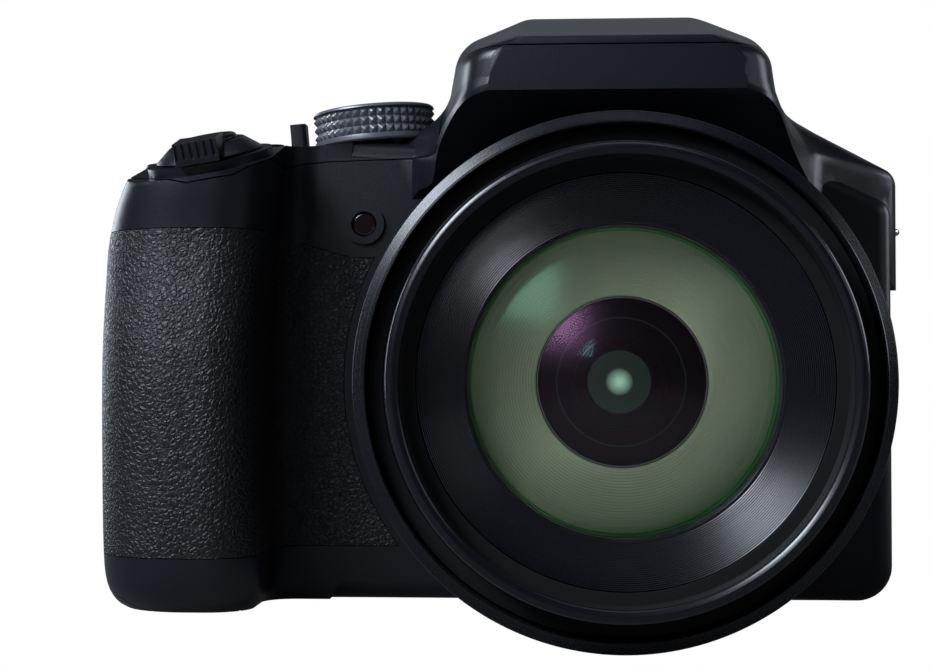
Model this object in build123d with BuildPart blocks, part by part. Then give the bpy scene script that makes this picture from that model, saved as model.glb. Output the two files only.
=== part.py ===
from build123d import *
from math import cos, radians, sin, sqrt, tan
import os

os.makedirs("parts", exist_ok=True)

# Bridge camera with a long zoom. X runs to the right of someone who faces the lens, the lens looks
# along -Y and Z is up. The origin is the mouth of the tripod socket, in the middle of the base.

# Clearances shared by every piece
overrun = 6.0            # how far a cut runs past the face that it leaves
seam = 0.2               # parting gap between two covers
fit = 0.12               # gap round a piece that is pushed or glued home
running = 0.3            # gap round a piece that moves
shaft_fit = 0.06         # radial gap of a turning shaft

# Body shell
axis_height = 34.3       # lens axis above the base
body_left = 79.6         # lens axis to the grip side
body_right = 45.2        # lens axis to the far side
body_front = 19.0        # socket plane to the front face
body_back = 19.0         # socket plane to the back face
side_height = 62.4       # height of the straight side walls
deck_height = 75.1       # top of the body block before its tilted faces are cut
dial_deck_height = 72.8  # top deck under the mode dial
grip_side_height = 60.5  # where the grip side starts to lean in
wall = 2.0               # shell wall
front_edge_round = 2.8
back_edge_round = 2.8
base_round_left = 7.0
base_round_right = 5.5
front_draw = 1.8         # far side draws in this much towards the front face
split_depth = 3.0        # parting plane of the front and rear covers
draw_start = 3.8         # socket plane to where the far side starts to draw in
side_round = 3.4         # far side's upper edge
slope_round = 8.0        # bend in the far shoulder
deck_round = 2.0
grip_side_round = 4.0    # grip side's upper edge
row_steps = 3            # sections in each span between two measured rows

# Hump over the lens
camera_height = 94.3
hump_reach = 51.0        # socket plane to the front plate of the hump
hump_half_width = 24.4
barrel_gap = 0.7         # hump's underside to the barrel at the face
underside_rise = 6.0     # how much the underside opens away from the barrel at its front
plate_wall = 1.6         # front plate of the hump
hump_round = 1.0         # the corner radii in its rows are multiples of this
underside_start = 17.1   # socket plane to where its underside is free of the face

# Grip
grip_reach = 43.4        # socket plane to the front of the grip
grip_width = 26.6        # outer side to the wall that faces the lens
grip_root_round = 5.0    # hollow corner where the grip meets the front face
grip_outer_round = 0.56  # shares of its width: the round of its outer front corner
grip_inner_round = 0.33  # and of its inner one
rubber = 1.2             # thickness of the grip's rubber skin
rubber_foot = 8.5        # rubber starts this high
rubber_top = 57.0        # and ends here
rubber_arc = 42.5        # its edge follows the lens at this radius
rubber_dip = 3.0         # its top edge falls this much towards the lens
rubber_near = 41.2       # between these two distances from the lens axis
rubber_far = 51.9
rubber_end = 1.0         # it stops this far in front of the parting plane

# Tilted top faces and what stands on them
deck_roll, deck_pitch = 5.0, 1.0
platform_roll, platform_pitch = 9.4, 14.9
release_inset = 18.2     # grip side to the shutter button
release_reach = 31.0     # socket plane to the shutter button
release_height = 67.6
plinth_radius = 9.6
plinth_height = 1.2
lever_radius = 8.2
lever_crown_radius = 5.7
lever_height = 2.3
lever_tab_reach = 11.2
lever_tab_width = 6.6
lever_tab_height = 3.5
lever_tab_ribs = 6
release_radius = 4.7
release_stand = 3.1      # top of the shutter button above the plinth
release_travel = 1.0
dial_inset = 41.2        # grip side to the mode dial
dial_reach = 8.0
dial_radius = 10.0
dial_height = 5.8
dial_sink = 0.2          # the dial stands in a recess this deep
dial_rim = 1.7           # smooth rim under the knurl
dial_knurls = 30
knurl_depth = 0.7
knurl_width = 0.84
dial_shaft_radius = 3.0
switch_gap = 0.9         # mode dial to the power switch
switch_width = 2.6
switch_length = 4.0
switch_stem = 3.0
switch_stand = 4.6
switch_travel = 5.0
top_button_radius = 2.9
top_button_stand = 2.0
movie_offset = 18.1      # mode dial to the movie button, towards the grip side
drive_offset = 14.0      # movie button to the drive button, towards the back

# Push buttons on the back
button_stand = 0.9
button_travel = 0.7
button_gap = 0.2         # gap round a push button
button_collar = 0.7      # rim behind the wall that keeps a button in
collar_height = 0.6
small_button_radius = 2.7
pad_inset = 37.6         # grip side to the middle of the cursor pad
pad_height = 26.0
pad_radius = 10.4
menu_radius = 4.4
pad_gap = 0.6
button_row = 18.5        # cursor pad to the row of buttons above it
button_spread = 8.5
delete_drop = 16.5
lock_rise = 30.0
flash_button_rise = 39.0

# Thumb wheel and thumb rest
wheel_radius = 8.0
wheel_height = 4.0
wheel_stand = 2.4        # how far it shows behind the back
wheel_inset = 19.0
wheel_level = 58.0
wheel_knurls = 24
thumb_width = 16.5
thumb_height = 30.0
thumb_inset = 3.4
thumb_foot = 21.0
thumb_stand = 1.8
thumb_round = 1.1

# Screen
window_width = 69.0
window_height = 51.0
window_margin = 3.0      # far side to the window
window_foot = 8.0
window_thickness = 2.6
window_stand = 1.5
window_ledge = 3.2       # frame that the window is glued to
panel_thickness = 3.2
panel_lap = 1.4          # panel behind the edge of the opening

# Viewfinder
eye_height = 79.0
eye_width = 18.0
eye_tall = 13.0
eye_lens_thickness = 2.2
cup_width = 27.4
cup_tall = 20.4
cup_reach = 10.2         # eyecup behind the back
finder_width = 21.0
finder_foot = 73.5
finder_tall = 12.0
finder_length = 19.5
dioptre_offset = 17.5
dioptre_radius = 3.4
dioptre_stand = 2.6
dioptre_shaft = 1.4

# Pop-up flash
hinge_reach = 10.0       # socket plane to the flash hinge
hinge_height = 88.0
hinge_turn = 5.7         # radius of the head's rear edge about the hinge
hinge_room = 6.1         # and of the cover's edge that it turns past
flash_seam_front = 82.2  # seam height at the front plate
flash_seam_back = 80.2   # and at the hinge
flash_pin_radius = 1.0
ear_radius = 2.2
ear_offset = 7.0         # middle of the camera to the head's ears
ear_width = 2.4
ear_gap = 0.3
arm_drop = 1.3           # foot of the cover's hinge arms under the hinge
flash_window_width = 27.0
flash_window_reach = 47.6
flash_window_foot = 76.9
flash_window_thickness = 1.2
bezel_depth = 2.8

# Lens
barrel_radius = 34.0
barrel_wall = 1.9
barrel_reach = 79.0      # socket plane to the front of the barrel's straight part
bevel_length = 2.6
bevel_drop = 1.6
spigot_wall = 0.8
cam_wall = 1.6
cam_reach = 74.0
cam_back = 11.0          # rear end of the cam ring, in front of the socket plane
trim_depth = 3.0
tube_gap = 0.4           # between the telescoping tubes
outer_tube_wall = 1.0
inner_tube_wall = 1.0
outer_tube_reach = 82.5
tube_back = 22.0         # rear end of the outer tube, in front of the socket plane
tube_step = 2.0          # inner tube ends this far in front of the outer one
ring_reach = 90.0        # front of the filter ring
ring_length = 7.0
ring_radius = 28.9
thread_radius = 27.1     # minor radius of the 55 mm filter thread
ring_ledge = 1.6
ledge_depth = 4.6        # thread's mouth to the ledge
name_radius = 19.4       # hole of the name ring
name_depth = 5.2         # filter ring's front to the hole of the name ring
cell_wall = 1.0
cell_length = 13.0
element_radius = 19.1
element_crown = 3.0
element_edge = 3.2
baffle_hole = 11.0
baffle_depth = 4.0
baffle_rim = 2.0
second_radius = 10.8
second_thickness = 4.0
iris_reach = 40.0
iris_thickness = 4.0
iris_hole = 8.0
focus_radius = 12.0
focus_thickness = 4.0
focus_reach = 28.0       # front face of the focus carriage
rod_radius = 0.8
rod_offset = 10.0
rod_length = 26.0
base_flange = 36.5
base_thickness = 1.8
cup_wall_radius = 34.2
cup_back = 9.0           # lens base's rear plate, in front of the socket plane
plate_thickness = 1.5
light_hole = 9.0
sensor_width = 26.0
sensor_height = 20.0
sensor_thickness = 2.0
pinion_radius = 2.9
pinion_length = 3.4
pinion_shaft = 1.0
pinion_teeth = 12
tooth_gap = 0.4
pinion_angle = 205.0
motor_radius = 5.0

# Inside
battery_width = 18.4
battery_clear = 0.4      # grip's inner wall to the battery
battery_depth = 32.4
battery_height = 42.4
battery_foot = 4.6
card_thickness = 2.1
card_width = 23.6
card_height = 32.0
frame_thickness = 1.0
frame_depth = 8.0        # front face of the frame behind the socket plane
frame_height = 54.0
rack_wall = 0.6
foot_width = 6.0
foot_left = 39.8         # lens axis to the two feet of the frame
foot_right = 36.2
foot_height = 8.0
board_thickness = 1.2
board_margin = 3.0
chip_shares = [(-0.3, 0.2, 0.16), (0.1, -0.15, 0.2), (0.32, 0.25, 0.12)]  # place and size on the board

# Doors
door_thickness = 2.0
door_gap = 0.25
door_margin = 3.0        # grip side to the door
door_front = 36.0
door_hinge_x = 50.6      # lens axis to the hinge of the battery door
door_step = 17.0         # the door is narrower in front of this
door_narrow_x = 56.2
door_pin_radius = 1.0
latch_width = 8.0
latch_length = 6.0
latch_travel = 3.0
latch_reach = 16.2       # socket plane to the latch
latch_ribs = 4
latch_rib_pitch = 1.0
side_door_foot = 27.0
side_door_height = 26.0
side_door_front = 5.6
side_door_length = 8.6
side_door_thickness = 1.6
door_ledge = 1.0         # the door rests on a ledge this wide
socket_depth = 7.0

# Fittings
lamp_x = 39.2
lamp_height = 59.3
lamp_radius = 1.9
lamp_boss_radius = 3.2
lamp_boss_stand = 0.8
lamp_length = 5.0
lug_plate_width = 5.6
lug_plate_height = 3.8
lug_thickness = 0.6
lug_ring = 2.0
lug_wire = 0.55
lug_level_left = 58.6
lug_level_right = 59.0
lug_reach_left = 8.0     # socket plane to the middle of the lugs
lug_reach_right = 1.6
base_plate_width = 46.0
base_plate_depth = 26.0
base_plate_thickness = 1.2
socket_boss = 5.5
socket_height = 6.2
socket_radius = 2.6      # minor radius of the quarter-inch thread
screw_head = 1.5
screw_head_height = 0.6
screw_radius = 0.7
screw_length = 4.6
cross_length = 1.8       # cross in a screw's head
cross_width = 0.4


def tilted(point, roll, pitch):
    """Plane through a point that rises by roll towards +X and by pitch towards +Y."""
    slope_x, slope_y = tan(radians(roll)), tan(radians(pitch))
    return Plane(origin=point, x_dir=(1, 0, slope_x), z_dir=(-slope_x, -slope_y, 1))


def front_plane(y):
    """Upright plane at depth y whose normal looks forwards, with the lens axis as its middle."""
    return Plane(origin=(0, y, axis_height), x_dir=(1, 0, 0), z_dir=(0, -1, 0))


def back_plane(y):
    """Upright plane at depth y with +X to the right, Z up from the base and a forward normal."""
    return Plane(origin=(0, y, 0), x_dir=(1, 0, 0), z_dir=(0, -1, 0))


def side_plane(x):
    """Upright plane at x, with Y and Z as its own axes and a normal towards +X."""
    return Plane(origin=(x, 0, 0), x_dir=(0, 1, 0), z_dir=(1, 0, 0))


dial_x = dial_inset - body_left
release_x = release_inset - body_left
deck = tilted((dial_x, -dial_reach, dial_deck_height), deck_roll, deck_pitch)
platform = tilted((release_x, -release_reach, release_height), platform_roll, platform_pitch)
lens_axis = Axis((0, 0, axis_height), (0, 1, 0))
lens_side = Plane(origin=(0, 0, axis_height), x_dir=(0, 1, 0), z_dir=(1, 0, 0))

# Rows of the hump from front to back. A depth is a share of the hump's reach, or of the back behind the
# socket plane. Heights are shares of the camera's height and half widths of the hump's half width:
# roof height and half width, shoulder height and half width, neck half width and height, flange right
# half width and height, flange left half width and height, bottom, and the radii of the corners.
hump_row_shares = [
    (-1.000, 0.880, 0.55, 0.857, 0.720, 0.734, 0.820, 0.746, 0.810, 0.746, 0.810, 0.800, (0.5, 0.5, 2, 3)),
    (-0.961, 0.886, 0.57, 0.861, 0.832, 0.852, 0.820, 0.869, 0.799, 0.869, 0.799, 0.790, (0.5, 0.5, 3, 3.5)),
    (-0.863, 0.899, 0.58, 0.870, 0.898, 0.926, 0.813, 0.967, 0.782, 0.967, 0.782, 0.771, (0.6, 1, 4, 5)),
    (-0.667, 0.925, 0.58, 0.890, 0.943, 0.984, 0.817, 1.082, 0.752, 1.082, 0.752, 0.735, (0.8, 4, 5, 6)),
    (-0.490, 0.950, 0.58, 0.911, 0.975, 1.033, 0.822, 1.230, 0.738, 1.150, 0.736, 0.690, (1.5, 6, 6, 6)),
    (-0.370, 0.968, 0.58, 0.926, 0.990, 1.060, 0.822, 1.350, 0.738, 1.300, 0.742, 0.670, (2, 7, 6, 6)),
    (-0.235, 0.986, 0.56, 0.940, 1.000, 1.082, 0.822, 1.835, 0.718, 1.500, 0.766, 0.530, (3, 9, 6, 6)),
    (-0.078, 1.000, 0.56, 0.951, 1.000, 1.082, 0.822, 1.845, 0.722, 1.500, 0.766, 0.530, (3, 9, 6, 6)),
    (0.316, 0.997, 0.56, 0.950, 1.000, 1.082, 0.832, 1.845, 0.722, 1.500, 0.766, 0.530, (3, 9, 6, 6)),
    (1.000, 0.955, 0.54, 0.921, 0.960, 1.049, 0.848, 1.820, 0.714, 1.500, 0.768, 0.530, (3, 9, 6, 6)),
]
# Plan of the grip at each height, a share of the deck's height. The other shares are of the grip's width,
# by which the outer wall draws in at the root and at the front, and the inner wall; and of the grip's
# reach, by which the front draws in.
grip_row_shares = [
    (0.000, 0.120, 0.210, 0.060, 0.140), (0.016, 0.060, 0.160, 0.026, 0.092), (0.052, 0.020, 0.120, 0.004, 0.044),
    (0.118, 0.004, 0.105, -0.004, 0.021), (0.290, 0.000, 0.100, 0.000, 0.005), (0.500, 0.000, 0.100, 0.008, 0.000),
    (0.660, 0.004, 0.105, -0.008, 0.039), (0.750, 0.020, 0.120, -0.023, 0.055), (0.845, 0.095, 0.205, -0.049, 0.041),
    (0.965, 0.260, 0.400, -0.075, 0.032),
]
# Front outline of the body block above its straight sides: shares of the half width and of the deck height.
block_top_shares = [(0.62, 0.925), (-0.60, 0.972), (-0.925, 0.945)]


def eased(before, start, end, after, t):
    """Smooth curve from start to end that heads for their neighbours; works on numbers and on tuples."""
    if isinstance(start, tuple):
        return tuple(eased(*values, t) for values in zip(before, start, end, after))
    return start + t * (end - before + t * (2 * before - 5 * start + 4 * end - after
                                            + t * (3 * (start - end) + after - before))) / 2


def eased_rows(rows):
    """The measured rows with further ones between them, so that the form bends gently."""
    padded = [rows[0]] + rows + [rows[-1]]
    for i in range(len(rows) - 1):
        for step in range(row_steps):
            yield eased(*padded[i:i + 4], step / row_steps)
    yield rows[-1]


def hump_sections(inset, room):
    """Upright sections of the raised middle. Those of the room inside have sharp corners and no flange."""
    sections = []
    tall, half = camera_height, hump_half_width
    for row in eased_rows(hump_row_shares):
        depth, roof, roof_half, eave, eave_half, neck_half, neck, right_half, right, left_half, left, foot, radii = row
        y = depth * (hump_reach if depth < 0 else body_back)
        if depth in (hump_row_shares[0][0], hump_row_shares[-1][0]):
            y += (plate_wall if depth < 0 else -inset) if room else 0
        low = foot * tall
        if room:
            low += inset if y < -underside_start else 0
            wide = neck_half * half - inset
            points = [(-wide, low), (inset - eave_half * half, eave * tall - inset),
                      (-roof_half * half, roof * tall - inset), (roof_half * half, roof * tall - inset),
                      (eave_half * half - inset, eave * tall - inset), (wide, low)]
            with BuildSketch(back_plane(y)) as section:
                with BuildLine():
                    Polyline(*points, close=True)
                make_face()
        else:
            points = [(-left_half * half, low), (-left_half * half, left * tall), (-neck_half * half, neck * tall),
                      (-eave_half * half, eave * tall), (-roof_half * half, roof * tall),
                      (roof_half * half, roof * tall), (eave_half * half, eave * tall),
                      (neck_half * half, neck * tall), (right_half * half, right * tall), (right_half * half, low)]
            corners = [radius * hump_round for radius in radii + radii[::-1]]
            with BuildSketch(back_plane(y)) as section:
                with BuildLine():
                    outline = FilletPolyline(*points, radius=corners)
                    Line(outline @ 1, outline @ 0)
                make_face()
        sections.append(section.sketch)
    return sections


def hump(inset, room):
    """The raised middle, open below to the barrel."""
    with BuildPart() as body:
        loft(sections=hump_sections(inset, room), ruled=True)
        extra = inset if room else 0
        with BuildSketch(front_plane(-body_front)):
            Circle(barrel_radius + barrel_gap + extra)
        with BuildSketch(front_plane(-hump_reach)):
            Circle(barrel_radius + barrel_gap + underside_rise + extra)
        loft(ruled=True, mode=Mode.SUBTRACT)
    return body.part


def block(inset):
    """The box of the body behind the front face, a little narrower at its front."""
    sections = []
    for y, draw in ((inset - body_front, front_draw), (-draw_start, 0), (body_back - inset, 0)):
        right = body_right - draw - inset
        (x1, z1), (x2, z2), (x3, z3) = block_top_shares
        points = [(inset - body_left, inset), (right, inset), (right, side_height - inset),
                  (x1 * body_right, z1 * deck_height - inset), (x2 * body_left, z2 * deck_height - inset),
                  (x3 * body_left + inset, z3 * deck_height - inset), (inset - body_left, grip_side_height)]
        with BuildSketch(back_plane(y)) as section:
            with BuildLine():
                FilletPolyline(*points, radius=[base_round_left - inset, base_round_right - inset, side_round,
                                                slope_round, deck_round, deck_round, grip_side_round], close=True)
            make_face()
        sections.append(section.sketch)
    with BuildPart() as body:
        loft(sections=sections, ruled=True)
        if inset == 0:
            fillet(body.faces().sort_by(Axis.Y)[0].edges(), radius=front_edge_round)
            fillet(body.faces().sort_by(Axis.Y)[-1].edges(), radius=back_edge_round)
    return body.part


def grip(inset):
    """The hand grip, lofted through plan sections."""
    sections = []
    for height, root, outer, inner, front in eased_rows(grip_row_shares):
        z = height * deck_height
        if 0 < z < inset:
            continue
        z = max(z, inset)
        x_root = -body_left + root * grip_width + inset
        x_out = -body_left + outer * grip_width + inset
        x_in = -body_left + (1 - inner) * grip_width - inset
        y = -(1 - front) * grip_reach + inset
        wide = x_in - x_out
        with BuildSketch(Plane.XY.offset(z)) as section:
            with BuildLine():
                outline = FilletPolyline(
                    (x_root, -body_front / 2), (x_out, y), (x_in, y), (x_in - fit, inset - body_front),
                    (x_in + grip_root_round * 2, inset - body_front), (x_in + grip_root_round * 2, -body_front / 2),
                    radius=[grip_outer_round * wide, grip_inner_round * wide, grip_root_round + inset, fit])
                Line(outline @ 1, outline @ 0)
            make_face()
        sections.append(section.sketch)
    with BuildPart() as body:
        loft(sections=sections, ruled=True)
    return body.part


def body_form(inset):
    """Body block and grip, cut by the tilted top faces."""
    with BuildPart() as body:
        add(block(inset))
        add(grip(inset))
        for plane in (deck, platform):
            with BuildSketch(plane.offset(-inset)):
                Rectangle(4 * body_left, 4 * body_left)
            extrude(amount=deck_height, mode=Mode.SUBTRACT)
    return body.part


with BuildPart() as outer:
    add(body_form(0))
    add(hump(0, False))
with BuildPart() as room:
    add(body_form(wall))
    add(hump(wall, True))


def region(plane, points, depth):
    """Prism of a polygon; depth runs along the plane's normal, or a pair of depths does."""
    start, end = depth
    with BuildPart() as body:
        with BuildSketch(plane.offset(start)):
            with BuildLine():
                Polyline(*points, close=True)
            make_face()
        extrude(amount=end - start)
    return body.part


def box_between(low, high):
    """Box from its lowest to its highest corner."""
    size = [b - a for a, b in zip(low, high)]
    with BuildPart() as body:
        with Locations(low):
            Box(*size, align=(Align.MIN, Align.MIN, Align.MIN))
    return body.part


def disc(plane, radius, start, end, x=0.0, y=0.0):
    """Cylinder on a plane from one height above it to another."""
    with BuildPart() as body:
        with BuildSketch(plane.offset(start)):
            with Locations((x, y)):
                Circle(radius)
        extrude(amount=end - start)
    return body.part


def turned(points):
    """Ring turned about the lens axis from corners given as depth and radius."""
    with BuildPart() as body:
        with BuildSketch(lens_side):
            with BuildLine():
                Polyline(*points, close=True)
            make_face()
        revolve(axis=lens_axis)
    return body.part


def rounded_slab(plane, width, height, x, y, corner, start, end):
    """Slab with rounded corners on a plane, from one height above it to another."""
    with BuildPart() as body:
        with BuildSketch(plane.offset(start)):
            with Locations((x, y)):
                RectangleRounded(width, height, corner)
        extrude(amount=end - start)
    return body.part


def finish(piece, name):
    """Name a finished piece and write it."""
    piece.part.label = name
    export_step(piece.part, f"parts/{name}.step")


# Places worked out from the sizes
pad_x = pad_inset - body_left
wheel_x = wheel_inset - body_left
thumb_x = thumb_inset + thumb_width / 2 - body_left
window_x = body_right - window_margin - window_width / 2
window_z = window_foot + window_height / 2
hinge_axis = Axis((0, -hinge_reach, hinge_height), (1, 0, 0))
far_depth = hump_reach + overrun
high = camera_height + overrun
rear_buttons = {
    "play_button": (pad_x - button_spread, pad_height + button_row, small_button_radius),
    "display_button": (pad_x + button_spread, pad_height + button_row, small_button_radius),
    "delete_button": (pad_x - button_spread, pad_height - delete_drop, small_button_radius),
    "lock_button": (pad_x, pad_height + lock_rise, small_button_radius),
    "flash_button": (pad_x + button_spread, pad_height + flash_button_rise, small_button_radius),
    "lvf_button": (-dioptre_offset, eye_height, small_button_radius),
    "menu_button": (pad_x, pad_height, menu_radius),
}
arrows = {"cursor_right": 0, "cursor_up": 90, "cursor_left": 180, "cursor_down": 270}
inner_back = body_back - wall
inner_front = body_front - wall

# Seam of the top cover on the front: shares of the grip side and of the deck's height
top_seam_shares = [(-1.10, 0.886), (-1.005, 0.886), (-0.917, 0.872), (-0.791, 0.849), (-0.704, 0.865),
                   (-0.653, 0.900), (-0.616, 0.918), (-0.565, 0.924), (-0.389, 0.930), (-0.338, 0.928)]


def top_region(gap):
    """Where the top cover is, grown by a gap."""
    points = [(x * body_left, z * deck_height - gap) for x, z in top_seam_shares]
    right = top_seam_shares[-1][0] * body_left + gap
    points[-1] = (right, points[-1][1])
    points += [(right, high), (points[0][0], high)]
    return region(back_plane(0), points, (-body_back - overrun, far_depth))


def head_region(gap):
    """Where the flash head is, ahead of its hinge and over the seam, with its turned rear edge."""
    turn = hinge_room if gap else hinge_turn
    lift = 0 if gap else turn
    with BuildPart() as body:
        add(region(side_plane(0), [(-far_depth, flash_seam_front - gap), (-hinge_reach + gap, flash_seam_back - gap),
                                   (-hinge_reach + gap, high), (-far_depth, high)], (-body_left, body_right)))
        with BuildSketch(side_plane(-body_left)):
            with Locations((-hinge_reach, hinge_height)):
                Circle(turn)
            with BuildLine():
                Polyline((-hinge_reach, hinge_height - gap), (-hinge_reach + 3 * turn, hinge_height - gap + 3 * lift),
                         (-hinge_reach + 3 * turn, -overrun), (-hinge_reach, -overrun), close=True)
            make_face(mode=Mode.SUBTRACT)
            with Locations((-hinge_reach - turn, hinge_height)):
                Rectangle(2 * turn, 4 * turn, mode=Mode.SUBTRACT)
        extrude(amount=body_left + body_right)
    return body.part


def rubber_region(gap):
    """Where the rubber skin is, round the grip and up to an arc about the lens."""
    left, foot, top = -body_left - overrun, rubber_foot - gap, rubber_top + gap
    arc = rubber_arc - gap
    dip = top - rubber_dip
    with BuildPart() as body:
        with BuildSketch(back_plane(split_depth - rubber_end + gap)):
            with BuildLine():
                Polyline((left, foot), (0, foot), (0, dip), (-rubber_near, dip), (-rubber_far, top), (left, top),
                         close=True)
            make_face()
            with Locations((0, axis_height)):
                Circle(arc, mode=Mode.SUBTRACT)
        extrude(amount=far_depth)
    return body.part


def door_region(gap, start, end):
    """Plan of the battery door with a gap round it, from one height to another."""
    left, hinge, narrow = door_margin - body_left - gap, gap - door_hinge_x, gap - door_narrow_x
    front, step, back = -door_front - gap, -door_step - gap, split_depth - rubber_end + gap - fit
    points = [(left, front), (narrow, front), (narrow, step), (hinge, step), (hinge, back), (left, back)]
    return region(Plane.XY, points, (start, end))


def along_y(x, z, radius, start, end):
    """Cylinder along Y from one depth to another."""
    return disc(back_plane(0), radius, -end, -start, x, z)


def along_x(y, z, radius, start, end):
    """Cylinder along X from one place to another."""
    return disc(side_plane(0), radius, start, end, y, z)


def screw_places():
    """Base plate screws first, then those of the rear cover."""
    inset = 2 * screw_head
    plate = [(sx * (base_plate_width / 2 - inset), sy * (base_plate_depth / 2 - inset))
             for sx in (-1, 1) for sy in (-1, 1)]
    feet = [(x, frame_depth - foot_width / 3) for x in (-foot_left, foot_right)]
    return plate, feet


plate_screws, foot_screws = screw_places()

# Pocket for the rubber skin
with BuildPart() as skin_core:
    add(body_form(rubber))
with BuildPart() as shell:
    add(outer.part)
    add(room.part, mode=Mode.SUBTRACT)

with BuildPart() as grip_rubber:
    add(outer.part)
    add(rubber_region(0), mode=Mode.INTERSECT)
    add(skin_core.part, mode=Mode.SUBTRACT)
finish(grip_rubber, "grip_rubber")

with BuildPart() as base_cut:
    add(box_between((-base_plate_width / 2 - fit, -base_plate_depth / 2 - fit, -overrun),
                    (base_plate_width / 2 + fit, base_plate_depth / 2 + fit, base_plate_thickness)))
    add(disc(Plane.XY, socket_boss + fit, 0, wall + overrun))
    for x, y in plate_screws:
        add(disc(Plane.XY, screw_radius + fit, 0, wall + overrun, x, y))
    for x, y in foot_screws:
        add(disc(Plane.XY, screw_radius + fit, -overrun, wall + overrun, x, y))
        add(disc(Plane.XY, screw_head + fit, -overrun, screw_head_height, x, y))

with BuildPart() as front_cover:
    add(shell.part)
    with BuildSketch(back_plane(split_depth)):
        Rectangle(4 * body_left, 4 * camera_height)
    extrude(amount=-body_back - overrun, mode=Mode.SUBTRACT)
    add(top_region(seam), mode=Mode.SUBTRACT)
    add(head_region(seam), mode=Mode.SUBTRACT)
    with BuildPart(mode=Mode.PRIVATE) as pocket:
        add(rubber_region(fit))
        add(skin_core.part, mode=Mode.SUBTRACT)
    add(pocket.part, mode=Mode.SUBTRACT)
    add(disc(front_plane(-inner_front), barrel_radius - barrel_wall + spigot_wall - fit, 0, overrun),
        mode=Mode.SUBTRACT)
    add(along_y(-lamp_x, lamp_height, lamp_boss_radius, -body_front - lamp_boss_stand, -inner_front))
    add(along_y(-lamp_x, lamp_height, lamp_radius + fit, -body_front - overrun, -inner_front + overrun),
        mode=Mode.SUBTRACT)
    for side in (-1, 1):
        x = side * (ear_offset + ear_width + ear_gap)
        arm = [(-hinge_reach, hinge_height - arm_drop), (-hinge_reach, hinge_height - seam),
               (hinge_room + running - hinge_reach, hinge_height - seam),
               (hinge_room + running - hinge_reach, camera_height - wall / 2),
               (0, camera_height - wall / 2), (0, hinge_height - arm_drop)]
        add(region(side_plane(x), arm, (-ear_width / 2, ear_width / 2)))
        add(along_x(-hinge_reach, hinge_height, ear_radius, x - ear_width / 2, x + ear_width / 2))
    add(along_x(-hinge_reach, hinge_height, flash_pin_radius + shaft_fit, -hump_half_width / 2, hump_half_width / 2),
        mode=Mode.SUBTRACT)
    add(door_region(door_gap, -overrun, wall + fit), mode=Mode.SUBTRACT)
    add(along_y(-door_hinge_x - door_pin_radius, door_thickness / 2, door_pin_radius + door_gap,
                -door_step - door_gap, split_depth - rubber_end + door_gap - fit), mode=Mode.SUBTRACT)
    add(base_cut.part, mode=Mode.SUBTRACT)
finish(front_cover, "front_cover")

with BuildPart() as top_cover:
    add(shell.part)
    add(disc(platform, plinth_radius, -wall / 2, plinth_height))
    add(top_region(0), mode=Mode.INTERSECT)
    add(disc(platform, lever_crown_radius + fit + shaft_fit, -2 * wall, 2 * overrun), mode=Mode.SUBTRACT)
    add(disc(deck, dial_radius + running, -dial_sink, 2 * overrun), mode=Mode.SUBTRACT)
    add(disc(deck, dial_shaft_radius + shaft_fit, -2 * wall, overrun), mode=Mode.SUBTRACT)
    switch_x = -dial_radius - switch_gap - switch_width / 2
    add(rounded_slab(deck, switch_width / 2 + 2 * button_gap, switch_stem + switch_travel + 2 * button_gap,
                     switch_x, 0, button_gap, -2 * wall, overrun), mode=Mode.SUBTRACT)
    for y in (0, drive_offset):
        add(disc(deck, top_button_radius + button_gap, -2 * wall, overrun, -movie_offset, y), mode=Mode.SUBTRACT)
finish(top_cover, "top_cover")

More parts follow.
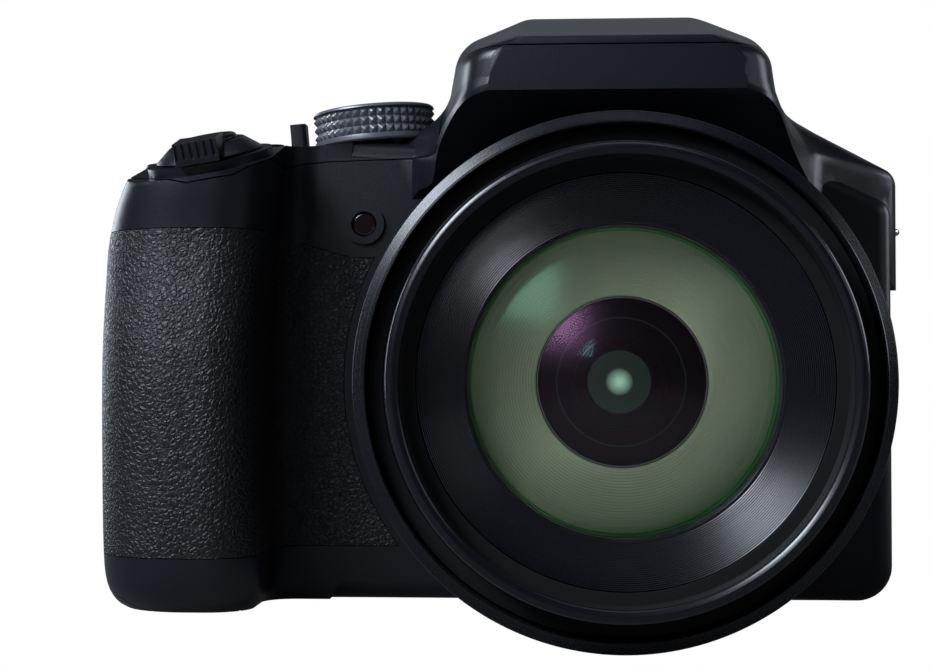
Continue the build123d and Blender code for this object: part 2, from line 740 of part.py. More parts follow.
pad_hole = pad_radius + button_gap
wheel_y = body_back + wheel_stand - wheel_radius
wheel_slot = sqrt(wheel_radius ** 2 - (inner_back - wheel_y) ** 2) + running
with BuildPart() as rear_cover:
    add(shell.part)
    with BuildSketch(back_plane(split_depth + seam)):
        Rectangle(4 * body_left, 4 * camera_height)
    extrude(amount=far_depth, mode=Mode.SUBTRACT)
    add(top_region(seam), mode=Mode.SUBTRACT)
    back = back_plane(body_back)
    add(rounded_slab(back, window_width + 2 * fit, window_height + 2 * fit, window_x, window_z, 2 * window_stand,
                     -overrun, window_thickness - window_stand), mode=Mode.SUBTRACT)
    add(rounded_slab(back, window_width - 2 * window_ledge, window_height - 2 * window_ledge, window_x, window_z,
                     window_stand, -overrun, wall + overrun), mode=Mode.SUBTRACT)
    for name, (x, z, radius) in rear_buttons.items():
        hole = pad_hole if name == "menu_button" else radius + button_gap
        add(disc(back, hole, -overrun, wall + overrun, x, z), mode=Mode.SUBTRACT)
    add(rounded_slab(back, eye_width + 2 * fit, eye_tall + 2 * fit, 0, eye_height, 2 * wall, -overrun,
                     wall + overrun), mode=Mode.SUBTRACT)
    add(disc(back, dioptre_shaft + shaft_fit, -overrun, wall + overrun, dioptre_offset, eye_height),
        mode=Mode.SUBTRACT)
    add(box_between((wheel_x - wheel_slot, inner_back - overrun, wheel_level - wheel_height / 2 - running),
                    (wheel_x + wheel_slot, body_back + overrun, wheel_level + wheel_height / 2 + running)),
        mode=Mode.SUBTRACT)
    for side in (-1, 1):
        near = wheel_level + side * (wheel_height / 2 + running)
        far = near + side * rack_wall * 2
        add(box_between((wheel_x - dial_shaft_radius, wheel_y - dial_shaft_radius, min(near, far)),
                        (wheel_x + dial_shaft_radius, inner_back, max(near, far))))
    add(disc(Plane.XY, dioptre_shaft + shaft_fit, wheel_level - wheel_height, wheel_level + wheel_height,
             wheel_x, wheel_y), mode=Mode.SUBTRACT)
    add(box_between((-body_left - overrun, side_door_front - door_gap, side_door_foot - door_gap),
                    (side_door_thickness - body_left + door_gap, side_door_front + side_door_length + door_gap,
                     side_door_foot + side_door_height + door_gap)), mode=Mode.SUBTRACT)
    add(box_between((-body_left - overrun, side_door_front + 2 * door_gap, side_door_foot + door_ledge),
                    (wall - body_left + fit, side_door_front + side_door_length - 2 * door_gap,
                     side_door_foot + side_door_height - door_ledge)), mode=Mode.SUBTRACT)
    add(base_cut.part, mode=Mode.SUBTRACT)
finish(rear_cover, "rear_cover")

with BuildPart() as flash_head:
    add(shell.part)
    add(head_region(0), mode=Mode.INTERSECT)
    for side in (-1, 1):
        x = side * ear_offset
        web = [(-hinge_reach - ear_radius, hinge_height), (-hinge_reach - ear_radius, camera_height - wall),
               (-hinge_reach + ear_radius, camera_height - wall), (-hinge_reach + ear_radius, hinge_height)]
        add(region(side_plane(x), web, (-ear_width / 2, ear_width / 2)))
        add(along_x(-hinge_reach, hinge_height, ear_radius, x - ear_width / 2, x + ear_width / 2))
    half = flash_window_width / 2 + fit
    add(box_between((-half, flash_window_thickness - flash_window_reach, flash_window_foot),
                    (half, flash_window_thickness + bezel_depth - flash_window_reach, flash_seam_front + wall / 4)))
    add(along_x(-hinge_reach, hinge_height, flash_pin_radius + shaft_fit, -hump_half_width / 2, hump_half_width / 2),
        mode=Mode.SUBTRACT)
finish(flash_head, "flash_head")

seam_slope = (flash_seam_front - flash_seam_back) / (far_depth - hinge_reach)
window_top = flash_seam_back + seam_slope * (flash_window_reach - flash_window_thickness - hinge_reach) - fit
with BuildPart() as flash_window:
    add(box_between((-flash_window_width / 2, -flash_window_reach, flash_window_foot),
                    (flash_window_width / 2, flash_window_thickness - flash_window_reach, window_top)))
    fillet(flash_window.edges().filter_by(Axis.Y), radius=flash_window_thickness)
finish(flash_window, "flash_window")

with BuildPart() as flash_pin:
    reach = ear_offset + 1.5 * ear_width + ear_gap
    add(along_x(-hinge_reach, hinge_height, flash_pin_radius, -reach, reach))
finish(flash_pin, "flash_pin")

# Lens, from the body outwards
cam_radius = barrel_radius - barrel_wall - running - fit
cam_bore = cam_radius - cam_wall
outer_tube = cam_bore - tube_gap
inner_tube = outer_tube - outer_tube_wall - tube_gap
inner_bore = inner_tube - inner_tube_wall
spigot = barrel_radius - barrel_wall + spigot_wall - 2 * fit
flange_front, flange_back = -inner_front, base_thickness - inner_front
pinion_centre = cam_radius + pinion_radius + fit
pinion_x = pinion_centre * cos(radians(pinion_angle))
pinion_z = axis_height + pinion_centre * sin(radians(pinion_angle))
cell_front = ring_length - ring_reach

with BuildPart() as lens_base:
    add(turned([(-body_front, cam_radius + fit), (-body_front, spigot), (flange_front, spigot),
                (flange_front, base_flange), (flange_back, base_flange), (flange_back, cup_wall_radius),
                (plate_thickness - cup_back, cup_wall_radius), (plate_thickness - cup_back, light_hole),
                (-cup_back, light_hole), (-cup_back, cam_radius + fit)]))
    add(along_y(pinion_x, pinion_z, motor_radius, -cup_back, plate_thickness - cup_back))
    add(along_y(pinion_x, pinion_z, pinion_radius + running, flange_back, -cup_back), mode=Mode.SUBTRACT)
    add(along_y(pinion_x, pinion_z, pinion_shaft + shaft_fit, -body_front, 0), mode=Mode.SUBTRACT)
    for angle in (0, 180):
        x, z = rod_offset * cos(radians(angle)), axis_height + rod_offset * sin(radians(angle))
        add(along_y(x, z, rod_radius, -cup_back - rod_length, -cup_back))
    add(box_between((-body_left, -body_front, -overrun), (body_right, body_back, wall + fit)), mode=Mode.SUBTRACT)
finish(lens_base, "lens_base")

with BuildPart() as fixed_barrel:
    inner = barrel_radius - barrel_wall
    add(turned([(-body_front, inner), (-body_front, barrel_radius), (-barrel_reach, barrel_radius),
                (-barrel_reach - bevel_length, barrel_radius - bevel_drop), (-barrel_reach - bevel_length, inner)]))
finish(fixed_barrel, "fixed_barrel")

with BuildPart() as barrel_trim:
    add(turned([(-barrel_reach, outer_tube + tube_gap), (-barrel_reach, inner - fit),
                (trim_depth - barrel_reach, inner - fit), (trim_depth - barrel_reach, outer_tube + tube_gap)]))
finish(barrel_trim, "barrel_trim")

with BuildPart() as cam_ring:
    add(turned([(-cam_back, cam_bore), (-cam_back, cam_radius), (-cam_reach, cam_radius), (-cam_reach, cam_bore)]))
finish(cam_ring, "cam_ring")

with BuildPart() as zoom_tube_outer:
    add(turned([(-tube_back, outer_tube - outer_tube_wall), (-tube_back, outer_tube),
                (-outer_tube_reach, outer_tube), (-outer_tube_reach, outer_tube - outer_tube_wall)]))
finish(zoom_tube_outer, "zoom_tube_outer")

with BuildPart() as zoom_tube_inner:
    add(turned([(-tube_back - tube_step, inner_bore), (-tube_back - tube_step, inner_tube),
                (cell_front, inner_tube), (cell_front, inner_bore)]))
finish(zoom_tube_inner, "zoom_tube_inner")

name_edge = thread_radius - ring_ledge
with BuildPart() as filter_ring:
    add(turned([(cell_front, name_edge), (cell_front, ring_radius), (-ring_reach, ring_radius),
                (-ring_reach, thread_radius), (ledge_depth - ring_reach, thread_radius),
                (ledge_depth - ring_reach, name_edge)]))
finish(filter_ring, "filter_ring")

cell_outer = element_radius + cell_wall
name_front = name_depth - ring_reach
with BuildPart() as name_ring:
    add(turned([(ledge_depth - ring_reach, name_edge - fit), (name_front, name_radius),
                (name_front + cell_wall, name_radius), (name_front + cell_wall, element_radius + fit),
                (name_front + cell_length, element_radius + fit), (name_front + cell_length, cell_outer + fit),
                (cell_front + cell_wall, cell_outer + fit), (cell_front + cell_wall, inner_bore - fit),
                (cell_front, inner_bore - fit), (cell_front, name_edge - fit)]))
finish(name_ring, "name_ring")

element_front = name_front + cell_wall + fit + element_crown


def lens_element(name, radius, front, edge, crown):
    """Glass with a bulging front and a flat back."""
    bulge = (radius ** 2 + crown ** 2) / (2 * crown)
    with BuildPart() as glass:
        with BuildSketch(lens_side):
            with BuildLine():
                RadiusArc((front, radius), (front - crown, 0), -bulge)
                Polyline((front - crown, 0), (front + edge, 0), (front + edge, radius), (front, radius))
            make_face()
        revolve(axis=lens_axis)
    finish(glass, name)
    return glass


front_element = lens_element("front_element", element_radius, element_front, element_edge, element_crown)
baffle_front = element_front + element_edge

with BuildPart() as lens_baffle:
    add(turned([(baffle_front, element_radius - cell_wall), (baffle_front, element_radius),
                (baffle_front + baffle_depth + baffle_rim, element_radius),
                (baffle_front + baffle_depth + baffle_rim, baffle_hole),
                (baffle_front + baffle_depth, baffle_hole)]))
finish(lens_baffle, "lens_baffle")

second_front = baffle_front + baffle_depth
second_element = lens_element("second_element", second_radius, second_front, second_thickness, element_crown / 2)

with BuildPart() as iris_unit:
    add(turned([(-iris_reach, iris_hole), (-iris_reach, inner_bore - fit),
                (iris_thickness - iris_reach, inner_bore - fit), (iris_thickness - iris_reach, iris_hole)]))
finish(iris_unit, "iris_unit")

with BuildPart() as focus_lens:
    add(along_y(0, axis_height, focus_radius, -focus_reach, focus_thickness - focus_reach))
    for angle in (0, 180):
        x, z = rod_offset * cos(radians(angle)), axis_height + rod_offset * sin(radians(angle))
        add(along_y(x, z, rod_radius + shaft_fit, -2 * focus_reach, 0), mode=Mode.SUBTRACT)
finish(focus_lens, "focus_lens")

with BuildPart() as zoom_gear:
    add(along_y(pinion_x, pinion_z, pinion_radius, flange_back + fit, flange_back + fit + pinion_length))
    add(along_y(pinion_x, pinion_z, pinion_shaft, flange_back + pinion_length, plate_thickness - cup_back))
    with BuildSketch(back_plane(flange_back - fit)):
        with Locations((pinion_x, pinion_z)):
            with PolarLocations(pinion_radius, pinion_teeth):
                Circle(tooth_gap)
    extrude(amount=-pinion_length - 2 * fit, mode=Mode.SUBTRACT)
finish(zoom_gear, "zoom_gear")

with BuildPart() as zoom_motor:
    add(along_y(pinion_x, pinion_z, motor_radius - running, plate_thickness - cup_back, frame_depth))
finish(zoom_motor, "zoom_motor")

with BuildPart() as image_sensor:
    back = plate_thickness - cup_back
    add(box_between((-sensor_width / 2, back, axis_height - sensor_height / 2),
                    (sensor_width / 2, back + sensor_thickness, axis_height + sensor_height / 2)))
finish(image_sensor, "image_sensor")

# Battery, card, frame and boards
battery_right = -body_left + grip_width - wall - battery_clear
battery_low = (battery_right - battery_width - fit, split_depth - rubber_end - battery_depth - fit, battery_foot)
with BuildPart() as battery:
    add(box_between(battery_low, (battery_right - fit, battery_low[1] + battery_depth,
                                  battery_foot + battery_height)))
    fillet(battery.edges().filter_by(Axis.Z), radius=battery_width / 9)
finish(battery, "battery")

card_x = battery_right + rack_wall + 2 * fit
with BuildPart() as memory_card:
    add(box_between((card_x, frame_depth - card_width - fit, battery_foot),
                    (card_x + card_thickness, frame_depth - fit, battery_foot + card_height)))
finish(memory_card, "memory_card")

frame_left = battery_right
frame_right = body_right - wall
with BuildPart() as inner_frame:
    add(box_between((frame_left, frame_depth, base_round_right),
                    (frame_right, frame_depth + frame_thickness, frame_height)))
    for x in (frame_left, card_x + card_thickness + fit):
        add(box_between((x, -door_step + wall, battery_foot), (x + rack_wall, frame_depth, battery_foot + battery_height)))
    for x, y in foot_screws:
        add(box_between((x - foot_width / 2, y - foot_width / 3, wall),
                        (x + foot_width / 2, frame_depth + frame_thickness, foot_height)))
        add(disc(Plane.XY, screw_radius + fit, 0, screw_length + fit, x, y), mode=Mode.SUBTRACT)
finish(inner_frame, "inner_frame")

board_y = frame_depth + frame_thickness
with BuildPart() as main_board:
    add(box_between((frame_left + board_margin, board_y, base_round_right + board_margin),
                    (frame_right - board_margin, board_y + board_thickness, frame_height - board_margin)))
    wide, tall = frame_right - frame_left, frame_height - wall
    for share_x, share_z, share_size in chip_shares:
        x, z = (frame_left + frame_right) / 2 + share_x * wide, frame_height / 2 + share_z * tall
        chip = share_size * tall
        add(box_between((x - chip / 2, board_y + board_thickness, z - chip / 2),
                        (x + chip / 2, board_y + 2 * board_thickness, z + chip / 2)))
finish(main_board, "main_board")

with BuildPart() as lcd_panel:
    lap = window_ledge - panel_lap
    add(box_between((window_x - window_width / 2 + lap, inner_back - panel_thickness, window_foot + lap),
                    (window_x + window_width / 2 - lap, inner_back, window_foot + window_height - lap)))
finish(lcd_panel, "lcd_panel")

with BuildPart() as lcd_window:
    add(rounded_slab(back_plane(body_back), window_width, window_height, window_x, window_z, 2 * window_stand,
                     -window_stand, window_thickness - window_stand))
    fillet(lcd_window.faces().sort_by(Axis.Y)[-1].edges(), radius=window_stand / 3)
finish(lcd_window, "lcd_window")

# Viewfinder
with BuildPart() as viewfinder_unit:
    add(box_between((-finder_width / 2, inner_back - finder_length, finder_foot),
                    (finder_width / 2, inner_back, finder_foot + finder_tall)))
    chamfer(viewfinder_unit.edges().filter_by(Axis.Y), length=finder_tall / 8)
finish(viewfinder_unit, "viewfinder_unit")

with BuildPart() as eyepiece_lens:
    add(rounded_slab(back_plane(inner_back), eye_width, eye_tall, 0, eye_height, 2 * wall - fit,
                     -eye_lens_thickness, 0))
finish(eyepiece_lens, "eyepiece_lens")

with BuildPart() as eyecup:
    add(rounded_slab(back_plane(body_back), cup_width, cup_tall, 0, eye_height, cup_tall / 4, -cup_reach, 0))
    fillet(eyecup.faces().sort_by(Axis.Y)[-1].edges(), radius=wall)
    add(rounded_slab(back_plane(body_back), eye_width + 2 * fit, eye_tall + 2 * fit, 0, eye_height, 2 * wall,
                     -cup_reach - overrun, 0), mode=Mode.SUBTRACT)
    chamfer(eyecup.faces().sort_by(Axis.Y)[-1].inner_wires()[0].edges(), length=wall)
finish(eyecup, "eyecup")

with BuildPart() as diopter_dial:
    plane = back_plane(body_back)
    add(disc(plane, dioptre_radius, -dioptre_stand - running, -running, dioptre_offset, eye_height))
    with BuildSketch(plane.offset(overrun - dioptre_stand)):
        with Locations((dioptre_offset, eye_height)):
            with PolarLocations(dioptre_radius + knurl_depth / 4, wheel_knurls):
                Circle(knurl_depth / 2)
    extrude(amount=-2 * overrun, mode=Mode.SUBTRACT)
    add(disc(plane, dioptre_shaft, -running, wall + running, dioptre_offset, eye_height))
finish(diopter_dial, "diopter_dial")

# Controls on the grip
with BuildPart() as zoom_lever:
    low, top = plinth_height + running, plinth_height + lever_height
    with BuildSketch(platform.offset(low)):
        Circle(lever_radius)
    with BuildSketch(platform.offset(top)):
        Circle(lever_crown_radius)
    loft(ruled=True)
    add(disc(platform, lever_crown_radius + fit, -wall / 2, low))
    add(box_between((0, 0, 0), (lever_tab_width, lever_tab_reach, lever_tab_height)).move(
        Location((-lever_tab_width / 2, -lever_tab_reach, low))).moved(platform.location))
    for i in range(lever_tab_ribs):
        x = (i + 0.5 - lever_tab_ribs / 2) * lever_tab_width / lever_tab_ribs
        groove = box_between((0, 0, 0), (lever_tab_width / lever_tab_ribs / 2, knurl_depth, lever_tab_height + wall))
        add(groove.move(Location((x - lever_tab_width / lever_tab_ribs / 4, -lever_tab_reach - knurl_depth / 2,
                                  low + wall / 2))).moved(platform.location), mode=Mode.SUBTRACT)
    add(disc(platform, release_radius + shaft_fit, -overrun, 2 * overrun), mode=Mode.SUBTRACT)
finish(zoom_lever, "zoom_lever")

with BuildPart() as shutter_button:
    add(disc(platform, release_radius, 0, plinth_height + release_stand))
    fillet(shutter_button.faces().sort_by(Axis.Z)[-1].edges(), radius=knurl_depth)
finish(shutter_button, "shutter_button")

with BuildPart() as mode_dial:
    low = 2 * running - dial_sink
    add(disc(deck, dial_radius, low, low + dial_height))
    fillet(mode_dial.faces().sort_by(Axis.Z)[-1].edges(), radius=knurl_depth)
    with BuildSketch(deck.offset(low + dial_rim)):
        with PolarLocations(dial_radius, dial_knurls):
            Rectangle(knurl_width, knurl_width, rotation=45)
    extrude(amount=dial_height, mode=Mode.SUBTRACT)
    add(disc(deck, dial_shaft_radius, -wall, low))
finish(mode_dial, "mode_dial")

with BuildPart() as power_switch:
    park = -switch_travel / 2
    stem = switch_width / 2
    add(rounded_slab(deck, switch_width, switch_length, switch_x, park, stem / 2, running, switch_stand))
    add(rounded_slab(deck, stem, switch_stem, switch_x, park, button_gap, -wall - running, running))
finish(power_switch, "power_switch")

for name, offset in (("movie_button", 0), ("drive_button", drive_offset)):
    with BuildPart() as cap:
        add(disc(deck, top_button_radius, -wall, top_button_stand, -movie_offset, offset))
        fillet(cap.faces().sort_by(Axis.Z)[-1].edges(), radius=button_gap)
        add(disc(deck, top_button_radius + button_collar, -wall - collar_height, -wall, -movie_offset, offset))
    finish(cap, name)

# Controls on the back
for name, (x, z, radius) in rear_buttons.items():
    drop = wall + (button_travel + fit if name == "menu_button" else 0)
    with BuildPart() as cap:
        add(disc(back_plane(body_back), radius, -button_stand, drop, x, z))
        fillet(cap.faces().sort_by(Axis.Y)[-1].edges(), radius=button_gap)
        add(disc(back_plane(body_back), radius + button_collar, drop, drop + collar_height, x, z))
    finish(cap, name)


def heading(angle):
    """Unit vector at an angle on a plane."""
    return Vector(cos(radians(angle)), sin(radians(angle)))


pad_centre = Vector(pad_x, pad_height)
for name, angle in arrows.items():
    with BuildPart() as cap:
        for start, end, radius in ((-button_stand, wall, pad_radius),
                                   (wall, wall + collar_height, pad_radius + button_collar)):
            with BuildSketch(back_plane(body_back).offset(start)):
                with Locations((pad_x, pad_height)):
                    Circle(radius)
                    Circle(menu_radius + pad_gap + (0 if end == wall else button_collar), mode=Mode.SUBTRACT)
                with BuildLine():
                    tip = pad_centre + heading(angle) * pad_gap / sqrt(2)
                    Polyline(tip, tip + heading(angle - 45) * 2 * radius, tip + heading(angle + 45) * 2 * radius,
                             close=True)
                make_face(mode=Mode.INTERSECT)
            extrude(amount=end - start)
    finish(cap, name)

with BuildPart() as rear_dial:
    low = wheel_level - wheel_height / 2
    add(disc(Plane.XY, wheel_radius, low, low + wheel_height, wheel_x, wheel_y))
    with BuildSketch(Plane.XY.offset(low - fit)):
        with Locations((wheel_x, wheel_y)):
            with PolarLocations(wheel_radius + knurl_depth / 4, wheel_knurls):
                Circle(knurl_depth / 2)
    extrude(amount=wheel_height + 2 * fit, mode=Mode.SUBTRACT)
    spindle = running + 2 * rack_wall
    add(disc(Plane.XY, dioptre_shaft, low - spindle, low + wheel_height + spindle, wheel_x, wheel_y))
finish(rear_dial, "rear_dial")

with BuildPart() as thumb_rest:
    add(rounded_slab(back_plane(body_back), thumb_width, thumb_height, thumb_x, thumb_foot + thumb_height / 2,
                     thumb_width / 4, -thumb_stand, 0))
    fillet(thumb_rest.faces().sort_by(Axis.Y)[-1].edges(), radius=thumb_round)
finish(thumb_rest, "thumb_rest")

# Doors
with BuildPart() as battery_door:
    add(outer.part)
    add(door_region(0, 0, door_thickness), mode=Mode.INTERSECT)
    pin_x = -door_hinge_x - door_pin_radius
    add(box_between((pin_x, -door_front, -overrun), (pin_x + overrun, body_back, door_thickness + overrun)),
        mode=Mode.SUBTRACT)
    add(along_y(pin_x, door_thickness / 2, door_pin_radius, -door_step, split_depth - rubber_end - fit))
    latch_x = door_margin - body_left + latch_width
    latch_y = -latch_reach
    add(box_between((latch_x - latch_width / 2 - fit, latch_y - latch_length / 2 - fit, -overrun),
                    (latch_x + latch_width / 2 + fit, latch_y + latch_length / 2 + latch_travel + fit,
                     door_thickness / 2)), mode=Mode.SUBTRACT)
finish(battery_door, "battery_door")

with BuildPart() as battery_latch:
    add(box_between((latch_x - latch_width / 2, latch_y - latch_length / 2, running),
                    (latch_x + latch_width / 2, latch_y + latch_length / 2, door_thickness / 2)))
    for i in range(latch_ribs):
        y = latch_y + (i + 0.5 - latch_ribs / 2) * latch_rib_pitch
        add(box_between((latch_x - latch_width / 3, y - fit, 0), (latch_x + latch_width / 3, y + fit, running)))
finish(battery_latch, "battery_latch")

side_pin_y = side_door_front + side_door_thickness / 2
with BuildPart() as terminal_door:
    add(box_between((-body_left, side_pin_y, side_door_foot),
                    (side_door_thickness - body_left, side_door_front + side_door_length,
                     side_door_foot + side_door_height)))
    add(disc(Plane.XY, side_door_thickness / 2, side_door_foot, side_door_foot + side_door_height,
             side_door_thickness / 2 - body_left, side_pin_y))
finish(terminal_door, "terminal_door")

with BuildPart() as sockets:
    front, back = side_door_front + wall, side_door_front + side_door_length
    add(box_between((wall - body_left, front, side_door_foot + wall),
                    (wall - body_left + socket_depth, back, side_door_foot + side_door_height - wall)))
    third = (side_door_height - 2 * wall) / 2
    for i in range(2):
        z = side_door_foot + wall + (i + 0.5) * third
        add(box_between((wall - body_left - overrun, front + (back - front) / 4, z - third / 3),
                        (wall - body_left + socket_depth / 2, back - (back - front) / 4, z + third / 3)),
            mode=Mode.SUBTRACT)
finish(sockets, "sockets")

# Fittings
with BuildPart() as assist_lamp:
    add(along_y(-lamp_x, lamp_height, lamp_radius, -body_front - lamp_boss_stand / 2, lamp_length - body_front))
    fillet(assist_lamp.faces().sort_by(Axis.Y)[0].edges(), radius=lamp_boss_stand / 2)
finish(assist_lamp, "assist_lamp")


def lug(x, side, level, lug_y):
    """Small plate on the side wall with a wire loop standing out of it."""
    with BuildPart() as body:
        near, far = (x, x + side * lug_thickness)
        add(box_between((min(near, far), lug_y - lug_plate_width / 2, level - lug_plate_height / 2),
                        (max(near, far), lug_y + lug_plate_width / 2, level + lug_plate_height / 2)))
        with BuildPart(mode=Mode.PRIVATE) as loop:
            with BuildSketch(Plane(origin=(near, lug_y, level), x_dir=(0, 1, 0), z_dir=(1, 0, 0))):
                with Locations((lug_ring, 0)):
                    Circle(lug_wire)
            revolve(axis=Axis((near, lug_y, level), (0, 0, 1)))
            add(box_between((min(near, near - side * overrun), -body_back, 0),
                            (max(near, near - side * overrun), body_back, camera_height)), mode=Mode.SUBTRACT)
        add(loop.part)
    return body.part


with BuildPart() as strap_lugs:
    add(lug(-body_left, -1, lug_level_left, -lug_reach_left))
    add(lug(body_right, 1, lug_level_right, -lug_reach_right))
finish(strap_lugs, "strap_lugs")

with BuildPart() as base_plate:
    add(rounded_slab(Plane.XY, base_plate_width, base_plate_depth, 0, 0, wall, 0, base_plate_thickness))
    add(disc(Plane.XY, socket_boss, base_plate_thickness, socket_height))
    add(disc(Plane.XY, socket_radius, -overrun, socket_height - rack_wall), mode=Mode.SUBTRACT)
    for x, y in plate_screws:
        add(disc(Plane.XY, screw_radius + fit, -overrun, overrun, x, y), mode=Mode.SUBTRACT)
        add(disc(Plane.XY, screw_head + fit, -overrun, screw_head_height, x, y), mode=Mode.SUBTRACT)
finish(base_plate, "base_plate")

with BuildPart() as case_screws:
    for x, y in plate_screws + foot_screws:
        add(disc(Plane.XY, screw_head, fit, screw_head_height, x, y))
        add(disc(Plane.XY, screw_radius, screw_head_height, screw_length, x, y))
        with BuildSketch(Plane.XY):
            with Locations((x, y)):
                Rectangle(cross_length, cross_width)
                Rectangle(cross_width, cross_length)
        extrude(amount=screw_head_height / 2, mode=Mode.SUBTRACT)
finish(case_screws, "case_screws")
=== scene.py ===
# %% [markdown]
# # Bridge camera
# This lesson dresses a packed camera model in Blender. The solids already have their true
# sizes, so each step adds what a solid can't show: the finish of a surface, the turned
# grooves round the lens, the knurl of a dial, the coated glass.

# %% Load the model
import math
import bpy
import numpy as np
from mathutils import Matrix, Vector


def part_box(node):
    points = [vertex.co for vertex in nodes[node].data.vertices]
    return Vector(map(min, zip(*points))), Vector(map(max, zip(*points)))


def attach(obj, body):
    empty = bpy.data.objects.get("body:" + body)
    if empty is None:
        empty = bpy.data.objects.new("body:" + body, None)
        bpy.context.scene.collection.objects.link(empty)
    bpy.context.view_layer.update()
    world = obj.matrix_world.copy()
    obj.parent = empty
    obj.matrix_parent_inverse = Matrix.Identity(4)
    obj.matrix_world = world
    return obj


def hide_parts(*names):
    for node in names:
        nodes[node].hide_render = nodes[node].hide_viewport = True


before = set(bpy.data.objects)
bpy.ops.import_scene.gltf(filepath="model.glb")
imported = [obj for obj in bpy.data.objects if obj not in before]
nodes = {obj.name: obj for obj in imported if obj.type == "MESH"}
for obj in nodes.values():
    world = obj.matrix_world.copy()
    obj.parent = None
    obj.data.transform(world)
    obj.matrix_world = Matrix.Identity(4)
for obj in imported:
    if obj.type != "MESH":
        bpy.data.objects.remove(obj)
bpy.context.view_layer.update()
mm = 0.001
print(len(nodes), "nodes loaded")

# %% [markdown]
# The camera stands where the photographer's stood: a third of a metre in front of the body, a
# little to its left, and level with the lens. The distance matters most, because it makes the
# filter ring, which is nearer, look larger than the body behind it.

# %% Viewpoint
viewpoint = bpy.data.cameras.new("viewpoint")
viewpoint.sensor_width = 36.0
viewpoint.lens = 71.2
viewpoint.clip_start = 0.01
photographer = bpy.data.objects.new("photographer", viewpoint)
photographer.location = (-0.0065, -0.3096, 0.0342)
photographer.rotation_euler = (math.radians(91.48), 0, math.radians(3.26))
bpy.context.scene.collection.objects.link(photographer)
bpy.context.scene.camera = photographer
bpy.context.scene.view_settings.view_transform = "Standard"
print("viewpoint set")

# %% [markdown]
# A product photograph has a white floor that runs up into a white wall. Here the floor is a pale
# sheet that keeps the camera's shadow, and Light Path makes it, and the world, plain white where
# they are seen directly or through glass. A reflection shows them much dimmer, because in the
# studio the black covers faced a dark room, and only the lamps drew light on them. From below
# the sheet is clear, so that the base and its door can be looked at.

# %% Node helpers
def tree_of(name):
    """A new material with an empty tree, its output and a function that adds linked nodes."""
    material = bpy.data.materials.new(name)
    material.use_nodes = True
    tree = material.node_tree
    tree.nodes.clear()
    out = tree.nodes.new("ShaderNodeOutputMaterial")

    def add(kind, links=(), **values):
        node = tree.nodes.new("ShaderNode" + kind)
        for key, value in values.items():
            if key in node.inputs:
                node.inputs[key].default_value = value
            else:
                setattr(node, key, value)
        for socket, source in dict(links).items():
            tree.links.new(source, node.inputs[socket])
        return node

    return material, tree, out, add


mirror_share = 0.04    # part of the glow that a reflection shows


def seen_directly(add):
    """One where a ray comes from the camera or through glass, and a hint where it is a reflection."""
    path = add("LightPath")
    faint = add("Math", operation="MULTIPLY")
    faint.inputs[1].default_value = mirror_share
    near = add("Math", operation="MAXIMUM")
    tree = near.id_data
    tree.links.new(path.outputs["Is Glossy Ray"], faint.inputs[0])
    tree.links.new(path.outputs["Is Camera Ray"], near.inputs[0])
    tree.links.new(faint.outputs[0], near.inputs[1])
    both = add("Math", operation="MAXIMUM")
    tree.links.new(near.outputs[0], both.inputs[0])
    tree.links.new(path.outputs["Is Transmission Ray"], both.inputs[1])
    return both.outputs[0]


# %% Floor and backdrop
floor_start, floor_drop = 0.5, 0.0002    # metres in front of the tripod socket, and under the base


def swept_sheet(name, width, depth, rise, bend):
    """Floor that curves up into a wall: along the sweep s, straight, then an arc of radius bend, then up."""
    rows, columns = 40, 3
    s = np.linspace(0, 1, rows)
    turn = np.clip((s - 0.4) / 0.3, 0, 1) * np.pi / 2
    y = np.where(s < 0.4, s / 0.4 * depth, depth + bend * np.sin(turn))
    z = np.where(s < 0.7, bend * (1 - np.cos(turn)), bend + (s - 0.7) / 0.3 * rise)
    x = np.linspace(-width / 2, width / 2, columns)
    points = np.stack(np.broadcast_arrays(x[None, :], y[:, None], z[:, None]), -1).reshape(-1, 3)
    points[:, 1] -= floor_start
    points[:, 2] -= floor_drop
    i, j = np.mgrid[0:rows - 1, 0:columns - 1]
    corner = (i * columns + j).ravel()
    faces = np.stack([corner, corner + 1, corner + columns + 1, corner + columns], 1)
    mesh = bpy.data.meshes.new(name)
    mesh.from_pydata(points.tolist(), [], faces.tolist())
    mesh.polygons.foreach_set("use_smooth", [True] * len(mesh.polygons))
    sheet = bpy.data.objects.new(name, mesh)
    bpy.context.scene.collection.objects.link(sheet)
    return sheet


floor = swept_sheet("floor", 6.0, 2.4, 0.02, 0.08)
paper, tree, out, add = tree_of("white_paper")
direct = seen_directly(add)
mirrored = add("MapRange", {"Value": add("LightPath").outputs["Is Glossy Ray"]})
paper_white, mirrored_white = 0.86, 0.09
mirrored.inputs["To Min"].default_value = paper_white
mirrored.inputs["To Max"].default_value = mirrored_white
sheet = add("BsdfDiffuse", {"Color": mirrored.outputs[0]})
glow = add("Emission", Color=(1, 1, 1, 1), Strength=1.0)
shade = add("MixShader", {0: direct, 1: sheet.outputs[0], 2: glow.outputs[0]})
open_below = add("MixShader", {0: add("NewGeometry").outputs["Backfacing"], 1: shade.outputs[0],
                               2: add("BsdfTransparent").outputs[0]})
tree.links.new(open_below.outputs[0], out.inputs["Surface"])
floor.data.materials.append(paper)
print("floor laid")

